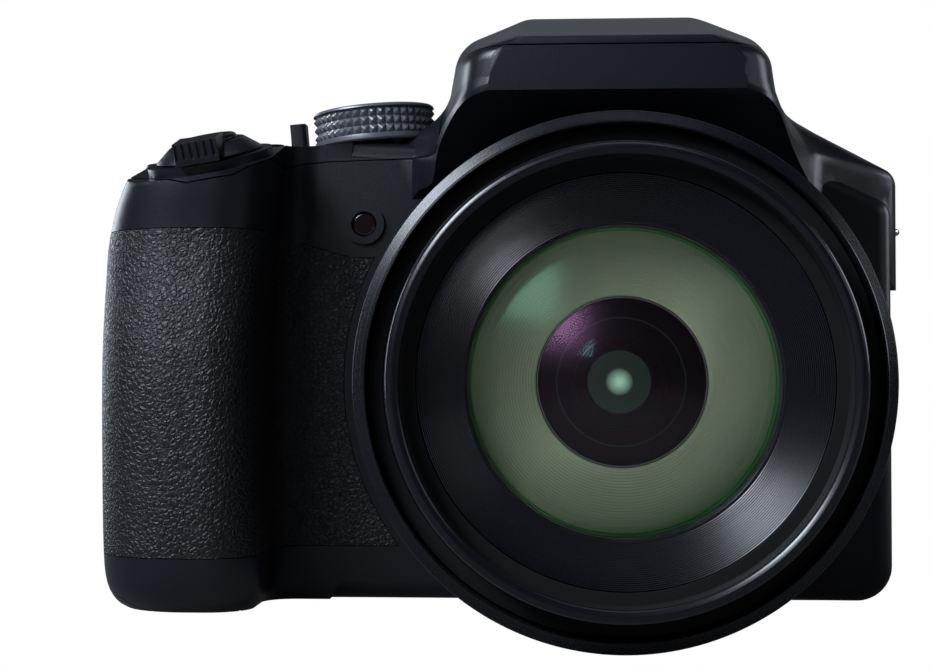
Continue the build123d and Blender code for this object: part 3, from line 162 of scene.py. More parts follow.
# %% World
world = bpy.data.worlds.new("white_room")
world.use_nodes = True
bpy.context.scene.world = world
sky = world.node_tree
background = sky.nodes["Background"]
path = sky.nodes.new("ShaderNodeLightPath")
direct = sky.nodes.new("ShaderNodeMath")
direct.operation = "MAXIMUM"
sky.links.new(path.outputs["Is Camera Ray"], direct.inputs[0])
sky.links.new(path.outputs["Is Transmission Ray"], direct.inputs[1])
room_glow, mirrored_glow = 0.05, 0.025
dim = sky.nodes.new("ShaderNodeMapRange")
dim.inputs["To Min"].default_value = room_glow
dim.inputs["To Max"].default_value = mirrored_glow
sky.links.new(path.outputs["Is Glossy Ray"], dim.inputs["Value"])
level = sky.nodes.new("ShaderNodeMapRange")
level.inputs["To Max"].default_value = 1.0
sky.links.new(direct.outputs[0], level.inputs["Value"])
sky.links.new(dim.outputs[0], level.inputs["To Min"])
background.inputs["Color"].default_value = (1, 1, 1, 1)
sky.links.new(level.outputs[0], background.inputs["Strength"])
print("world lit")

# %% [markdown]
# Black plastic shows its form only through soft reflections. Large panels stand round the
# camera: a bright one at the upper left that draws the light edges of the photograph, a weaker
# one on the right, and one overhead for the tops. Two small ones put the green and the violet
# patch on the lenses, and three behind draw the form of the back and of the far side.

# %% Light panels
def panel(name, place, target, size, power):
    """Square area lamp of cool daylight at a place that looks at a target."""
    lamp = bpy.data.lights.new(name, "AREA")
    lamp.color = (0.82, 0.89, 1.0)
    lamp.size = size
    lamp.energy = power
    holder = bpy.data.objects.new(name, lamp)
    way = np.subtract(target, place)
    yaw = math.atan2(way[0], way[1])
    pitch = math.atan2(-way[2], math.hypot(way[0], way[1]))
    holder.rotation_euler = (math.pi / 2 - pitch, 0, -yaw)
    holder.location = place
    bpy.context.scene.collection.objects.link(holder)
    return holder


aim = (0, 0, 0.045)
panel("key_panel", (-0.80, -0.45, 0.85), aim, 0.42, 15.0)
panel("fill_panel", (0.95, -0.45, 0.45), aim, 0.5, 1.1)
panel("top_panel", (0.1, -0.25, 1.15), aim, 0.6, 1.2)
panel("back_panel", (-0.85, 0.85, 0.22), aim, 0.5, 3.6)
panel("side_panel", (1.00, 0.32, 0.36), aim, 0.5, 3.2)
panel("rear_panel", (0.10, 1.10, 0.60), aim, 0.8, 0.45)
panel("lens_panel", (-0.33, -0.78, 0.38), aim, 0.22, 1.4)
panel("cone_panel", (-0.52, -0.60, 0.55), aim, 0.28, 7.2)
print("panels placed")

# %% [markdown]
# A solid from CAD arrives as loose triangles, so every facet shades flat. A small node modifier
# welds them and smooths across the edges that bend little, while real corners stay sharp.

# %% Soft shading
weld_distance = 0.000002
soft_bend, sharp_bend = 24, 28    # degrees


def smoothing_tree(name, degrees):
    """Welds the triangles, drops stored normals and shades smooth across edges under an angle."""
    group = bpy.data.node_groups.new(name, "GeometryNodeTree")
    group.interface.new_socket("Geometry", in_out="INPUT", socket_type="NodeSocketGeometry")
    group.interface.new_socket("Geometry", in_out="OUTPUT", socket_type="NodeSocketGeometry")
    steps = group.nodes
    start, end = steps.new("NodeGroupInput"), steps.new("NodeGroupOutput")
    weld = steps.new("GeometryNodeMergeByDistance")
    weld.inputs["Distance"].default_value = weld_distance
    bare = steps.new("GeometryNodeRemoveAttribute")
    bare.inputs["Name"].default_value = "custom_normal"
    bend = steps.new("GeometryNodeInputMeshEdgeAngle")
    small = steps.new("FunctionNodeCompare")
    small.operation = "LESS_THAN"
    small.inputs[1].default_value = math.radians(degrees)
    faces = steps.new("GeometryNodeSetShadeSmooth")
    faces.domain = "FACE"
    edges = steps.new("GeometryNodeSetShadeSmooth")
    edges.domain = "EDGE"
    link = group.links.new
    link(start.outputs[0], weld.inputs["Geometry"])
    link(weld.outputs[0], bare.inputs["Geometry"])
    link(bare.outputs[0], faces.inputs["Geometry"])
    link(faces.outputs[0], edges.inputs["Geometry"])
    link(bend.outputs["Unsigned Angle"], small.inputs[0])
    link(small.outputs[0], edges.inputs["Shade Smooth"])
    link(edges.outputs[0], end.inputs[0])
    return group


soft_edges = smoothing_tree("soft_edges", soft_bend)


def smooth(piece):
    """Gives a piece the shared smoothing modifier."""
    modifier = piece.modifiers.new("soft_edges", "NODES")
    modifier.node_group = soft_edges


for node in nodes.values():
    smooth(node)
print("solids shaded smooth")

# %% [markdown]
# Moulded covers have no knife edges. A narrow bevel on every sharp edge catches the thin lines of
# light that outline the hump and the grip in the photograph. The triangles are welded first,
# because a bevel needs to know which faces share an edge.

# %% Eased edges
def ease_edges(piece, width):
    """Welds, rounds every edge sharper than 28 degrees by width, then shades softly again."""
    piece.modifiers.clear()
    weld = piece.modifiers.new("weld", "WELD")
    weld.merge_threshold = weld_distance
    bevel = piece.modifiers.new("bevel", "BEVEL")
    bevel.width = width
    bevel.segments = 2
    bevel.limit_method = "ANGLE"
    bevel.angle_limit = math.radians(sharp_bend)
    bevel.use_clamp_overlap = True
    smooth(piece)


eased_nodes = {"front_cover": 0.35, "rear_cover": 0.35, "top_cover": 0.3, "flash_head": 0.35,
               "zoom_lever": 0.25, "power_switch": 0.2, "battery_door": 0.2, "base_plate": 0.2,
               "terminal_door": 0.2}
for name, width in eased_nodes.items():
    ease_edges(nodes[name], width * mm)
print(len(eased_nodes), "covers eased")

# %% [markdown]
# ## Finishes
# Nearly everything on this camera is black, yet no two blacks are alike. Each finish below is a
# base colour, a roughness and a small bump, all worked out from noise at the real scale of the
# grain, so that the covers look moulded, the grip pebbled and the barrel turned.

# %% Finish helper
rough_swing = 0.07
cloud_scale = 55.0    # broad colour noise, in waves per metre


def finish_of(name, color, rough, *, metallic=0.0, grain=0.0, grain_size=0.0004, vary=0.15,
              detail=4.0, coat=0.0, specular=0.5):
    """A dielectric or metal with fine grain: noise at grain_size moves roughness and bump, and a broader noise
    the colour.
    """
    material, tree, out, add = tree_of(name)
    place = add("TexCoord").outputs["Object"]
    fine = add("TexNoise", {"Vector": place}, Scale=1 / grain_size, Detail=detail, Roughness=0.6)
    broad = add("TexNoise", {"Vector": place}, Scale=cloud_scale, Detail=3.0)
    low = [c * (1 - vary) for c in color] + [1]
    high = [min(1, c * (1 + vary)) for c in color] + [1]
    tint = add("Mix", {0: broad.outputs["Fac"]}, data_type="RGBA")
    tint.inputs[6].default_value = low
    tint.inputs[7].default_value = high
    speckle = add("MapRange", {"Value": fine.outputs["Fac"]})
    speckle.inputs["To Min"].default_value = max(0.0, rough - rough_swing)
    speckle.inputs["To Max"].default_value = min(1.0, rough + rough_swing)
    shader = add("BsdfPrincipled", {"Base Color": tint.outputs[2], "Roughness": speckle.outputs[0]},
                 Metallic=metallic)
    shader.inputs["Coat Weight"].default_value = coat
    shader.inputs["Specular IOR Level"].default_value = specular
    if grain:
        bump = add("Bump", {"Height": fine.outputs["Fac"]}, Strength=grain, Distance=grain_size * 0.35)
        tree.links.new(bump.outputs[0], shader.inputs["Normal"])
    tree.links.new(shader.outputs[0], out.inputs["Surface"])
    return material


body_black = finish_of("body_black", (0.0036, 0.0042, 0.0068), 0.33,
                       grain=0.22, grain_size=0.00030, specular=0.34)
lens_black = finish_of("lens_black", (0.0020, 0.0024, 0.0040), 0.27,
                       grain=0.03, grain_size=0.00018, specular=0.34)
deep_black = finish_of("deep_black", (0.0022, 0.0022, 0.0026), 0.62, specular=0.15)
ring_black = finish_of("ring_black", (0.0022, 0.0025, 0.0042), 0.24,
                       grain=0.05, grain_size=0.00016, specular=0.42)
soft_black = finish_of("soft_black", (0.0050, 0.0055, 0.0072), 0.60,
                       grain=0.35, grain_size=0.0005, specular=0.3)
dial_grey = finish_of("dial_grey", (0.092, 0.097, 0.112), 0.34, grain=0.18, grain_size=0.00022, metallic=0.35)
nickel = finish_of("nickel", (0.60, 0.60, 0.61), 0.24, metallic=1.0, grain=0.06)
plain_alloy = finish_of("plain_alloy", (0.42, 0.43, 0.45), 0.38, metallic=1.0, grain=0.15)
board_green = finish_of("board_green", (0.02, 0.12, 0.06), 0.4, grain=0.1, vary=0.4)
cell_black = finish_of("cell_black", (0.0012, 0.0014, 0.0014), 0.50, vary=0.05, specular=0.08)
cell_grey = finish_of("cell_grey", (0.06, 0.062, 0.068), 0.5, grain=0.2)
milky = finish_of("milky", (0.72, 0.73, 0.74), 0.25, grain=0.1, coat=0.4)
lamp_red = finish_of("lamp_red", (0.006, 0.0035, 0.004), 0.10, grain=0.02, coat=1.0)
screen_black = finish_of("screen_black", (0.004, 0.004, 0.005), 0.06, grain=0.0, coat=1.0)
teal_metal = finish_of("teal_metal", (0.10, 0.32, 0.32), 0.3, metallic=1.0, grain=0.05)
olive = finish_of("olive", (0.335, 0.342, 0.245), 0.60, grain=0.2, grain_size=0.0003, vary=0.12)
print("finishes mixed")

# %% [markdown]
# The grip is covered in soft rubber with a leather grain: raised pebbles with narrow valleys.
# Voronoi cells give the pebbles, and the distance to the cell's edge gives the valleys. A second,
# smaller set of cells wrinkles the pebbles so that they don't look like bubbles.

# %% Leather grain
def pebbled(name, color, size, depth, rough):
    """Rubber with leather grain: height is the distance to the nearest cell edge, softened and wrinkled."""
    material, tree, out, add = tree_of(name)
    place = add("TexCoord").outputs["Object"]
    drift = add("TexNoise", {"Vector": place}, Scale=0.9 / size, Detail=2.0)
    spread = add("VectorMath", {0: drift.outputs["Color"]}, operation="SCALE")
    spread.inputs["Scale"].default_value = size * 1.3
    moved = add("VectorMath", {0: place, 1: spread.outputs[0]}, operation="ADD")
    large = add("TexVoronoi", {"Vector": moved.outputs[0]}, feature="DISTANCE_TO_EDGE", Scale=1 / size)
    small = add("TexVoronoi", {"Vector": moved.outputs[0]}, feature="SMOOTH_F1", Scale=2.7 / size)
    hill = add("MapRange", {"Value": large.outputs["Distance"]}, interpolation_type="SMOOTHSTEP")
    hill.inputs["From Max"].default_value = 0.28
    wrinkle = add("Math", {0: small.outputs["Distance"]}, operation="MULTIPLY")
    wrinkle.inputs[1].default_value = 0.35
    height = add("Math", {0: hill.outputs[0], 1: wrinkle.outputs[0]}, operation="SUBTRACT")
    bump = add("Bump", {"Height": height.outputs[0]}, Strength=0.85, Distance=depth)
    # Painted shade: the valleys between the pebbles are coloured darker, down to 0.45 of the rubber's colour.
    tint = add("Mix", {0: hill.outputs[0]}, data_type="RGBA")
    tint.inputs[6].default_value = [c * 0.45 for c in color] + [1]
    tint.inputs[7].default_value = list(color) + [1]
    gloss = add("MapRange", {"Value": hill.outputs[0]})
    gloss.inputs["To Min"].default_value = rough + 0.18
    gloss.inputs["To Max"].default_value = rough
    shader = add("BsdfPrincipled", {"Base Color": tint.outputs[2], "Roughness": gloss.outputs[0],
                                    "Normal": bump.outputs[0]})
    shader.inputs["Specular IOR Level"].default_value = 0.34
    tree.links.new(shader.outputs[0], out.inputs["Surface"])
    return material


# The grip's rubber: bumped grain, with painted shade that makes its valleys darker.
grip_grain_with_painted_shade = pebbled("grip_grain_with_painted_shade", (0.0054, 0.0058, 0.0074), 0.00082, 0.00011, 0.38)
print("leather grain mixed")

# %% [markdown]
# Camera glass carries a coating a fraction of a wavelength thick. It lets most light through and
# sends back a faint purple or green, so the glass is a clear coat over a transparent body, and a
# Fresnel mix keeps the middle almost invisible.

# %% Coated glass
axis_height = 34.3


def coated(name, tint, reflect, rough, index=1.36):
    """Thin coated glass: transparent tint, with a coloured gloss that grows towards the edge."""
    material, tree, out, add = tree_of(name)
    place = add("TexCoord").outputs["Object"]
    streak = add("TexNoise", {"Vector": place}, Scale=70.0, Detail=2.0)
    tone = add("Mix", {0: streak.outputs["Fac"]}, data_type="RGBA")
    tone.inputs[6].default_value = [c * 0.85 for c in reflect] + [1]
    tone.inputs[7].default_value = list(reflect) + [1]
    clear = add("BsdfTransparent", Color=list(tint) + [1])
    gloss = add("BsdfGlossy", {"Color": tone.outputs[2]}, Roughness=rough)
    edge = add("Fresnel", IOR=index)
    glass = add("MixShader", {0: edge.outputs[0], 1: clear.outputs[0], 2: gloss.outputs[0]})
    tree.links.new(glass.outputs[0], out.inputs["Surface"])
    return material


def pupil_painted_light(name, radius, middle_glow, edge_glow):
    """Pale green disc that glows as painted light: its strength falls with the distance from the lens axis, up
    to a radius, which paints a bright spot in its middle.
    """
    material, tree, out, add = tree_of(name)
    place = add("TexCoord").outputs["Object"]
    centred = add("VectorMath", {0: place}, operation="SUBTRACT")
    centred.inputs[1].default_value = (0, 0, axis_height * mm)
    flat = add("VectorMath", {0: centred.outputs[0]}, operation="MULTIPLY")
    flat.inputs[1].default_value = (1, 0, 1)
    away = add("VectorMath", {0: flat.outputs[0]}, operation="LENGTH")
    power = add("MapRange", {"Value": away.outputs["Value"]})
    power.inputs["From Max"].default_value = radius
    power.inputs["To Min"].default_value = middle_glow
    power.inputs["To Max"].default_value = edge_glow
    shader = add("BsdfPrincipled", {"Emission Strength": power.outputs[0]}, Roughness=0.6)
    shader.inputs["Base Color"].default_value = (0.26, 0.36, 0.28, 1)
    shader.inputs["Emission Color"].default_value = (0.80, 1.0, 0.82, 1)
    tree.links.new(shader.outputs[0], out.inputs["Surface"])
    return material


# Painted light: a glowing disc deep in the lens, brightest on the axis.
pupil_painted_glow = pupil_painted_light("pupil_painted_glow", 0.0019, 1.1, 0.035)
front_coating = coated("front_coating", (0.96, 0.98, 0.95), (0.45, 0.95, 0.62), 0.18, 1.38)
inner_coating = coated("inner_coating", (0.86, 0.88, 0.90), (1.0, 0.40, 0.90), 0.24, 1.65)
teal_coating = coated("teal_coating", (0.88, 0.95, 0.93), (0.40, 0.95, 0.90), 0.08)
print("glass coated")

# %% Finishes for the solids
finish_for = {
    "front_cover": body_black, "rear_cover": body_black, "top_cover": body_black, "flash_head": body_black,
    "base_plate": soft_black, "case_screws": nickel, "grip_rubber": grip_grain_with_painted_shade, "thumb_rest": grip_grain_with_painted_shade,
    "strap_lugs": nickel, "assist_lamp": lamp_red, "fixed_barrel": lens_black, "barrel_trim": deep_black,
    "lens_base": deep_black, "zoom_motor": plain_alloy, "image_sensor": board_green,
    "inner_frame": plain_alloy, "main_board": board_green, "battery": cell_grey, "memory_card": cell_grey,
    "lcd_panel": deep_black, "lcd_window": screen_black, "viewfinder_unit": deep_black,
    "eyepiece_lens": inner_coating, "eyecup": soft_black, "flash_pin": nickel, "sockets": plain_alloy,
    "zoom_tube_outer": lens_black, "zoom_tube_inner": lens_black, "filter_ring": ring_black,
    "name_ring": ring_black, "front_element": front_coating, "lens_baffle": olive,
    "second_element": inner_coating, "cam_ring": plain_alloy, "zoom_gear": cell_grey,
    "focus_lens": inner_coating, "iris_unit": cell_black, "flash_window": milky, "battery_door": body_black,
    "battery_latch": dial_grey, "terminal_door": soft_black, "diopter_dial": dial_grey,
    "zoom_lever": body_black, "shutter_button": lens_black, "mode_dial": dial_grey,
    "power_switch": body_black, "rear_dial": dial_grey,
}
for name, node in nodes.items():
    node.data.materials.clear()
    node.data.materials.append(finish_for.get(name, body_black))
print(len(finish_for), "solids have their own finish")

# %% [markdown]
# ## Turned pieces
# Barrels, rings and lenses are lathe work: one outline carried round the lens axis. The outline
# is a row of depth and radius, its corners are eased a little so that they catch a line of light,
# and numpy turns the whole row at once into a grid of outline points by angles.

# %% Lathe
def eased(outline, ease, steps=4):
    """Replaces every corner P by a Bezier arc from P + e(A - P) to P + e(B - P), A and B its neighbours."""
    corner = np.asarray(outline, float)
    before, after = np.roll(corner, 1, 0) - corner, np.roll(corner, -1, 0) - corner
    reach_a = np.minimum(ease / np.linalg.norm(before, axis=1), 0.45)[:, None]
    reach_b = np.minimum(ease / np.linalg.norm(after, axis=1), 0.45)[:, None]
    t = np.linspace(0, 1, steps)[None, :, None]
    start, end = (corner + before * reach_a)[:, None], (corner + after * reach_b)[:, None]
    arcs = start * (1 - t) ** 2 + 2 * corner[:, None] * t * (1 - t) + end * t ** 2
    return arcs.reshape(-1, 2)


def grid_faces(rows, columns, close_rows, close_columns):
    """Quads of a grid of rows by columns, wrapped round where a direction closes."""
    i, j = np.mgrid[0:rows if close_rows else rows - 1, 0:columns if close_columns else columns - 1]
    a, b = i.ravel(), j.ravel()
    c, d = (a + 1) % rows, (b + 1) % columns
    return np.stack([a * columns + b, a * columns + d, c * columns + d, c * columns + b], 1)


def piece_from(name, points, faces, finish, body, stands_for=()):
    """Makes a mesh piece in millimetres, gives it its finish and body, and turns its faces outwards."""
    mesh = bpy.data.meshes.new(name)
    mesh.from_pydata((np.asarray(points).reshape(-1, 3) * mm).tolist(), [], np.asarray(faces).tolist())
    mesh.update()
    piece = bpy.data.objects.new(name, mesh)
    bpy.context.scene.collection.objects.link(piece)
    corners = np.zeros(len(mesh.vertices) * 3)
    mesh.vertices.foreach_get("co", corners)
    corners = corners.reshape(-1, 3)
    quad = np.asarray(faces)
    first = np.cross(corners[quad[:, 1]] - corners[quad[:, 0]], corners[quad[:, 2]] - corners[quad[:, 0]])
    last = np.cross(corners[quad[:, 2]] - corners[quad[:, 0]], corners[quad[:, -1]] - corners[quad[:, 0]])
    middle = corners.mean(0)
    volume = ((first + last) * (corners[quad[:, 0]] - middle)).sum()
    if volume < 0:
        mesh.flip_normals()
    mesh.materials.append(finish)
    smooth(piece)
    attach(piece, body)
    if stands_for:
        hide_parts(*stands_for)
    return piece


def lathed(name, outline, finish, body, stands_for=(), ease=0.12, turns=192, thread=None, ring=True):
    """Closed ring: the outline (depth y, radius r) at angle a gives x = r cos a, y, z = axis + r sin a.
    A thread adds to r a wave that climbs one pitch in each turn, where the outline lies on its wall.
    A piece that is no ring has an outline that starts and ends on the axis."""
    row = eased(outline, ease) if ease else np.asarray(outline, float)
    angle = np.linspace(0, 2 * np.pi, turns, endpoint=False)
    depth, radius = np.broadcast_arrays(row[:, :1], np.zeros(turns))[0], np.repeat(row[:, 1:], turns, 1)
    if thread:
        low, high, wall, pitch, height = thread
        on_wall = (depth > low) & (depth < high) & (np.abs(radius - wall) < 0.02)
        wave = 0.5 - 0.5 * np.cos(2 * np.pi * depth / pitch + angle[None, :])
        radius = radius + on_wall * wave * height
    points = np.stack([radius * np.cos(angle), depth, axis_height + radius * np.sin(angle)], -1)
    return piece_from(name, points, grid_faces(len(row), turns, ring, True), finish, body, stands_for)


def fine_row(start, end, count, pitch=0.0, height=0.0):
    """Points on a line from start to end with grooves: a cosine of one pitch, square to the line."""
    start, end = np.asarray(start, float), np.asarray(end, float)
    way = end - start
    length = np.hypot(*way)
    share = np.linspace(0, 1, count)[:, None]
    square = np.array([-way[1], way[0]]) / length
    wave = height * (0.5 - 0.5 * np.cos(2 * np.pi * share * length / pitch)) if pitch else 0 * share
    return start + way * share + square * wave


print("lathe ready")

# %% [markdown]
# The fixed barrel ends in a bevel with a dozen fine turned grooves that scatter the light. On the
# real lens they stop stray light and give the fingers a hold on a lens cap.

# %% Fixed barrel
barrel_row = np.concatenate([
    eased([(-81.6, 32.1), (-19.0, 32.1), (-19.0, 34.0), (-78.9, 34.0), (-79.05, 33.95)], 0.1)[2:],
    fine_row((-79.15, 33.9), (-81.45, 32.48), 97, 0.27, -0.07),
    [(-81.58, 32.36), (-81.6, 32.26)],
])
lathed("barrel_shell", barrel_row, lens_black, "root", ["fixed_barrel"], ease=0, turns=256)
lathed("trim_band", [(-79.0, 30.1), (-79.0, 31.96), (-76.0, 31.96), (-76.0, 30.1)], deep_black, "root",
       ["barrel_trim"])
lathed("outer_tube", [(-22.0, 28.68), (-22.0, 29.68), (-82.5, 29.68), (-82.5, 28.68)], lens_black, "outer_tube",
       ["zoom_tube_outer"], turns=224)
lathed("inner_tube", [(-24.0, 27.28), (-24.0, 28.28), (-83.0, 28.28), (-83.0, 27.28)], lens_black, "inner_tube",
       ["zoom_tube_inner"], turns=224)
print("barrel and tubes turned")

# %% [markdown]
# The filter ring has a real thread inside: one 0.75 mm groove that climbs round the wall. Its
# face is rounded like a bead, which is why the photograph shows a soft arc of light at its upper
# left and another at its lower right. The thread itself is dull, so that it sends no light on.

# %% Filter ring
ring_row = np.concatenate([
    eased([(-85.4, 27.1), (-85.4, 25.5), (-83.0, 25.5), (-83.0, 28.3), (-89.55, 28.3), (-89.55, 27.15)], 0.1),
    fine_row((-89.5, 27.1), (-85.5, 27.1), 60),
])
lathed("threaded_ring", ring_row, deep_black, "inner_tube", ["filter_ring"], ease=0,
       turns=256, thread=(-89.4, -85.55, 27.1, 0.75, 0.36))
lathed("face_ring", [(-83.0, 28.32), (-83.0, 28.9), (-88.3, 28.9), (-88.5, 28.75), (-88.7, 28.9),
                     (-89.35, 28.86), (-89.8, 28.55), (-90.0, 28.05), (-89.85, 27.5), (-89.57, 27.12),
                     (-89.57, 28.32)],
       ring_black, "inner_tube", ["filter_ring"], ease=0.3, turns=256)
print("filter ring turned")

# %% [markdown]
# Inside the thread lies a bare ring. Its face is cut with grooves a quarter of a millimetre apart,
# so a lamp draws a bright fan across it in two opposite places, as on a record.

# %% Bare inner ring
name_row = np.concatenate([
    fine_row((-85.4, 25.34), (-84.82, 19.6), 185, 0.25, 0.05),
    eased([(-84.8, 19.4), (-83.8, 19.4), (-83.8, 19.22), (-71.8, 19.22), (-71.8, 20.22), (-82.0, 20.22),
           (-82.0, 27.1), (-82.9, 27.1), (-82.9, 25.38)], 0.06, 3),
])
lathed("grooved_ring", name_row, ring_black, "inner_tube", ["name_ring"], ease=0, turns=224)
print("inner ring turned")

# %% [markdown]
# Behind the front glass a matt olive cone leads down to the next lens. Fine steps in it swallow
# light that would otherwise bounce into the picture.

# %% Cone behind the front glass
cone_row = np.concatenate([
    eased([(-73.5, 11.0), (-71.5, 11.0), (-71.5, 19.08), (-77.45, 19.08), (-77.45, 18.2)], 0.05, 3),
    fine_row((-77.4, 18.1), (-73.55, 11.05), 120, 0.42, -0.05),
])
lathed("olive_cone", cone_row, olive, "inner_tube", ["lens_baffle"], ease=0, turns=192)
print("cone turned")

# %% [markdown]
# A lens is a cap of a sphere on a short edge. The cap is worked out from its radius and its
# crown, so the reflections of the lamps bend over it as on real glass.

# %% Glass
def glass(name, radius, front, crown, edge, finish, body, stands_for=()):
    """Lens: depth = front - crown + R - sqrt(R^2 - r^2) with R = (r0^2 + crown^2) / 2 crown, and a
    flat back."""
    ball = (radius ** 2 + crown ** 2) / (2 * crown)
    out = np.linspace(0.001, radius, 40)
    cap = np.stack([front - crown + ball - np.sqrt(ball ** 2 - out ** 2), out], 1)
    back = np.stack([np.full(6, front + edge), np.linspace(radius, 0.001, 6)], 1)
    return lathed(name, np.concatenate([cap, back]), finish, body, stands_for, ease=0,
                  turns=128, ring=False)


glass("front_glass", 19.1, -80.68, 3.0, 3.2, front_coating, "inner_tube", ["front_element"])
glass("second_glass", 10.8, -73.48, 1.5, 4.0, inner_coating, "inner_tube", ["second_element"])
print("lenses ground")

# %% [markdown]
# Deep in the lens the photograph shows thin bright circles, one behind another: the edges of
# further lenses in their black cells. Stepped rings carry them down to a pale disc that glows:
# painted light that stands for the dim light that comes back from the lenses behind, brightest in the middle.

# %% Lens cells
cell_steps = ((10.7, 8.3, -68.6), (8.4, 6.0, -64.5), (6.1, 4.3, -60.5))
rim_finishes = (teal_metal, teal_metal, plain_alloy)
cell_depth, rim_front, rim_back, rim_width = 3.0, 0.12, 0.1, 0.16
for index, (outer, hole, depth) in enumerate(cell_steps):
    near, far, edge = depth - rim_front, depth + rim_back, hole + rim_width
    lathed(f"lens_cell_{index}", [(depth, hole), (depth, outer), (depth + cell_depth, outer),
                                  (depth + cell_depth, hole)],
           cell_black, "inner_tube", (), ease=0.25, turns=96)
    lathed(f"cell_rim_{index}", [(near, hole), (near, edge), (far, edge), (far, hole)], rim_finishes[index],
           "inner_tube", (), ease=0.04, turns=96)
lathed("edge_bead", [(-73.66, 10.72), (-73.66, 10.86), (-73.52, 10.86), (-73.52, 10.72)], plain_alloy,
       "inner_tube", (), ease=0.04, turns=160)
glass("third_glass", 8.2, -66.8, 1.4, 1.6, teal_coating, "inner_tube")
glass("fourth_glass", 5.9, -62.6, 1.0, 1.4, teal_coating, "inner_tube")
# Painted light: the glowing disc behind the last cell.
lathed("pupil", [(-60.2, 0.001), (-60.2, 4.25), (-59.8, 4.25), (-59.8, 0.001)], pupil_painted_glow, "inner_tube", (),
       ease=0, turns=96, ring=False)
print(len(cell_steps), "cells stacked")

# %% [markdown]
# ## Mode dial
# The dial's side has three rows of small pyramids over a smooth rim. Its radius is worked out on
# a grid of angle and height: inside each cell the surface falls from a point in the middle to the
# cell's edges. Diamond cutting gives the real one the same shape.

# %% Tilted faces
def tilted(point, roll, pitch):
    """Origin and axes of a face that rises by roll towards +X and by pitch towards +Y."""
    slope_x, slope_y = math.tan(math.radians(roll)), math.tan(math.radians(pitch))
    normal = np.array([-slope_x, -slope_y, 1.0])
    normal /= np.linalg.norm(normal)
    across = np.array([1.0, 0.0, slope_x])
    across /= np.linalg.norm(across)
    return np.asarray(point, float), across, np.cross(normal, across), normal


deck = tilted((-38.4, -8.0, 72.8), 5.0, 1.0)


def on_face(face, a, b, h):
    """Points at a across, b back and h over a tilted face."""
    origin, across, back, normal = face
    return origin + a[..., None] * across + b[..., None] * back + h[..., None] * normal


def turned_on(face, name, radius_of, heights, turns, finish, body, stands_for=()):
    """Closed knob on a face: radius_of(angle, height) carried round, with its rows closed at both poles."""
    angle = np.linspace(0, 2 * np.pi, turns, endpoint=False)
    a, h = np.broadcast_arrays(angle[None, :], np.asarray(heights, float)[:, None])
    r = radius_of(a, np.broadcast_to(np.arange(len(heights))[:, None], a.shape))
    points = on_face(face, r * np.cos(a), r * np.sin(a), h)
    faces = grid_faces(len(heights), turns, False, True)
    return piece_from(name, points, faces, finish, body, stands_for)


print("tilted faces worked out")

# %% Knurled dial
knurls, rows, cut = 44, 3, 0.62
knurl_low, knurl_high = 1.6, 5.75
cell = np.linspace(0, rows, rows * 6 + 1)
side_heights = knurl_low + cell / rows * (knurl_high - knurl_low)
dial_sink = 0.2
foot_heights = [-0.9, -0.9, 0.6, 0.6, 0.6, 0.85, 1.4, 1.6]
foot_radii = [0.001, 2.94, 2.94, 3.0, 9.75, 10.0, 10.0, 9.95]
top_heights = [5.9, 6.15, 6.35, 6.4, 6.4, 6.4, 6.15, 6.15, 6.15, 6.3, 6.3]
top_radii = [9.95, 9.85, 9.6, 9.3, 9.25, 8.7, 8.5, 8.4, 2.6, 2.4, 0.001]
dial_heights = np.concatenate([foot_heights, side_heights, top_heights]) - dial_sink
dial_radii = np.concatenate([foot_radii, np.full(len(cell), 9.98), top_radii])
knurl_row = np.concatenate([np.full(len(foot_heights), -1.0), cell, np.full(len(top_heights), -1.0)])


def knurled(angle, row):
    """Radius less the cut times the larger of the two distances from the middle of the pyramid's cell."""
    across = np.abs((angle * knurls / (2 * np.pi)) % 1 - 0.5) * 2
    along = np.abs(knurl_row[row] % 1 - 0.5) * 2
    return dial_radii[row] - np.where(knurl_row[row] < 0, 0, cut * np.maximum(across, along))


turned_on(deck, "knurled_dial", knurled, dial_heights, knurls * 6, dial_grey, "dial", ["mode_dial"])
print(knurls * rows, "pyramids cut")

# %% [markdown]
# Eight plain dots stand for the settings on top of the dial, and one index dot on the deck shows
# which is chosen. They are thin printed discs, bare of any words.

# %% Dots
white_ink = finish_of("white_ink", (0.62, 0.62, 0.60), 0.5, grain=0.05)


def dots(name, face, places, radius, low, high, finish, body):
    """Short discs with eased tops at places on a face, all in one mesh."""
    rings, sides = 5, 16
    angle = np.linspace(0, 2 * np.pi, sides, endpoint=False)
    reach = np.array([0.001, 1.0, 1.0, 0.9, 0.001]) * radius
    level = np.array([low, low, high - 0.04, high, high])
    place = np.asarray(places, float)
    a = place[:, 0, None, None] + reach[None, :, None] * np.cos(angle)
    b = place[:, 1, None, None] + reach[None, :, None] * np.sin(angle)
    h = np.broadcast_to(level[None, :, None], a.shape)
    one = grid_faces(rings, sides, False, True)
    faces = (one[None] + np.arange(len(place))[:, None, None] * rings * sides).reshape(-1, 4)
    return piece_from(name, on_face(face, a, b, h), faces, finish, body, ())


dot_count, dot_turn, dot_circle = 8, 0.3, 6.9
around = np.linspace(0, 2 * np.pi, dot_count, endpoint=False) + dot_turn
places = np.stack([dot_circle * np.cos(around), dot_circle * np.sin(around)], 1)
dots("dial_dots", deck, places, 0.5, 6.12 - dial_sink, 6.22 - dial_sink, white_ink, "dial")
dots("index_dot", deck, [(8.2, 8.2)], 0.45, -0.2, 0.06, white_ink, "root")
print("dots printed")

# %% [markdown]
# ## Back of the camera
# The screen is a sheet of dark glass over a frame, with the display a shade lighter inside it. The
# frame is drawn by the glass's own place: the larger of the two distances from its middle, each
# as a share of the display's half size, is under one inside the display.

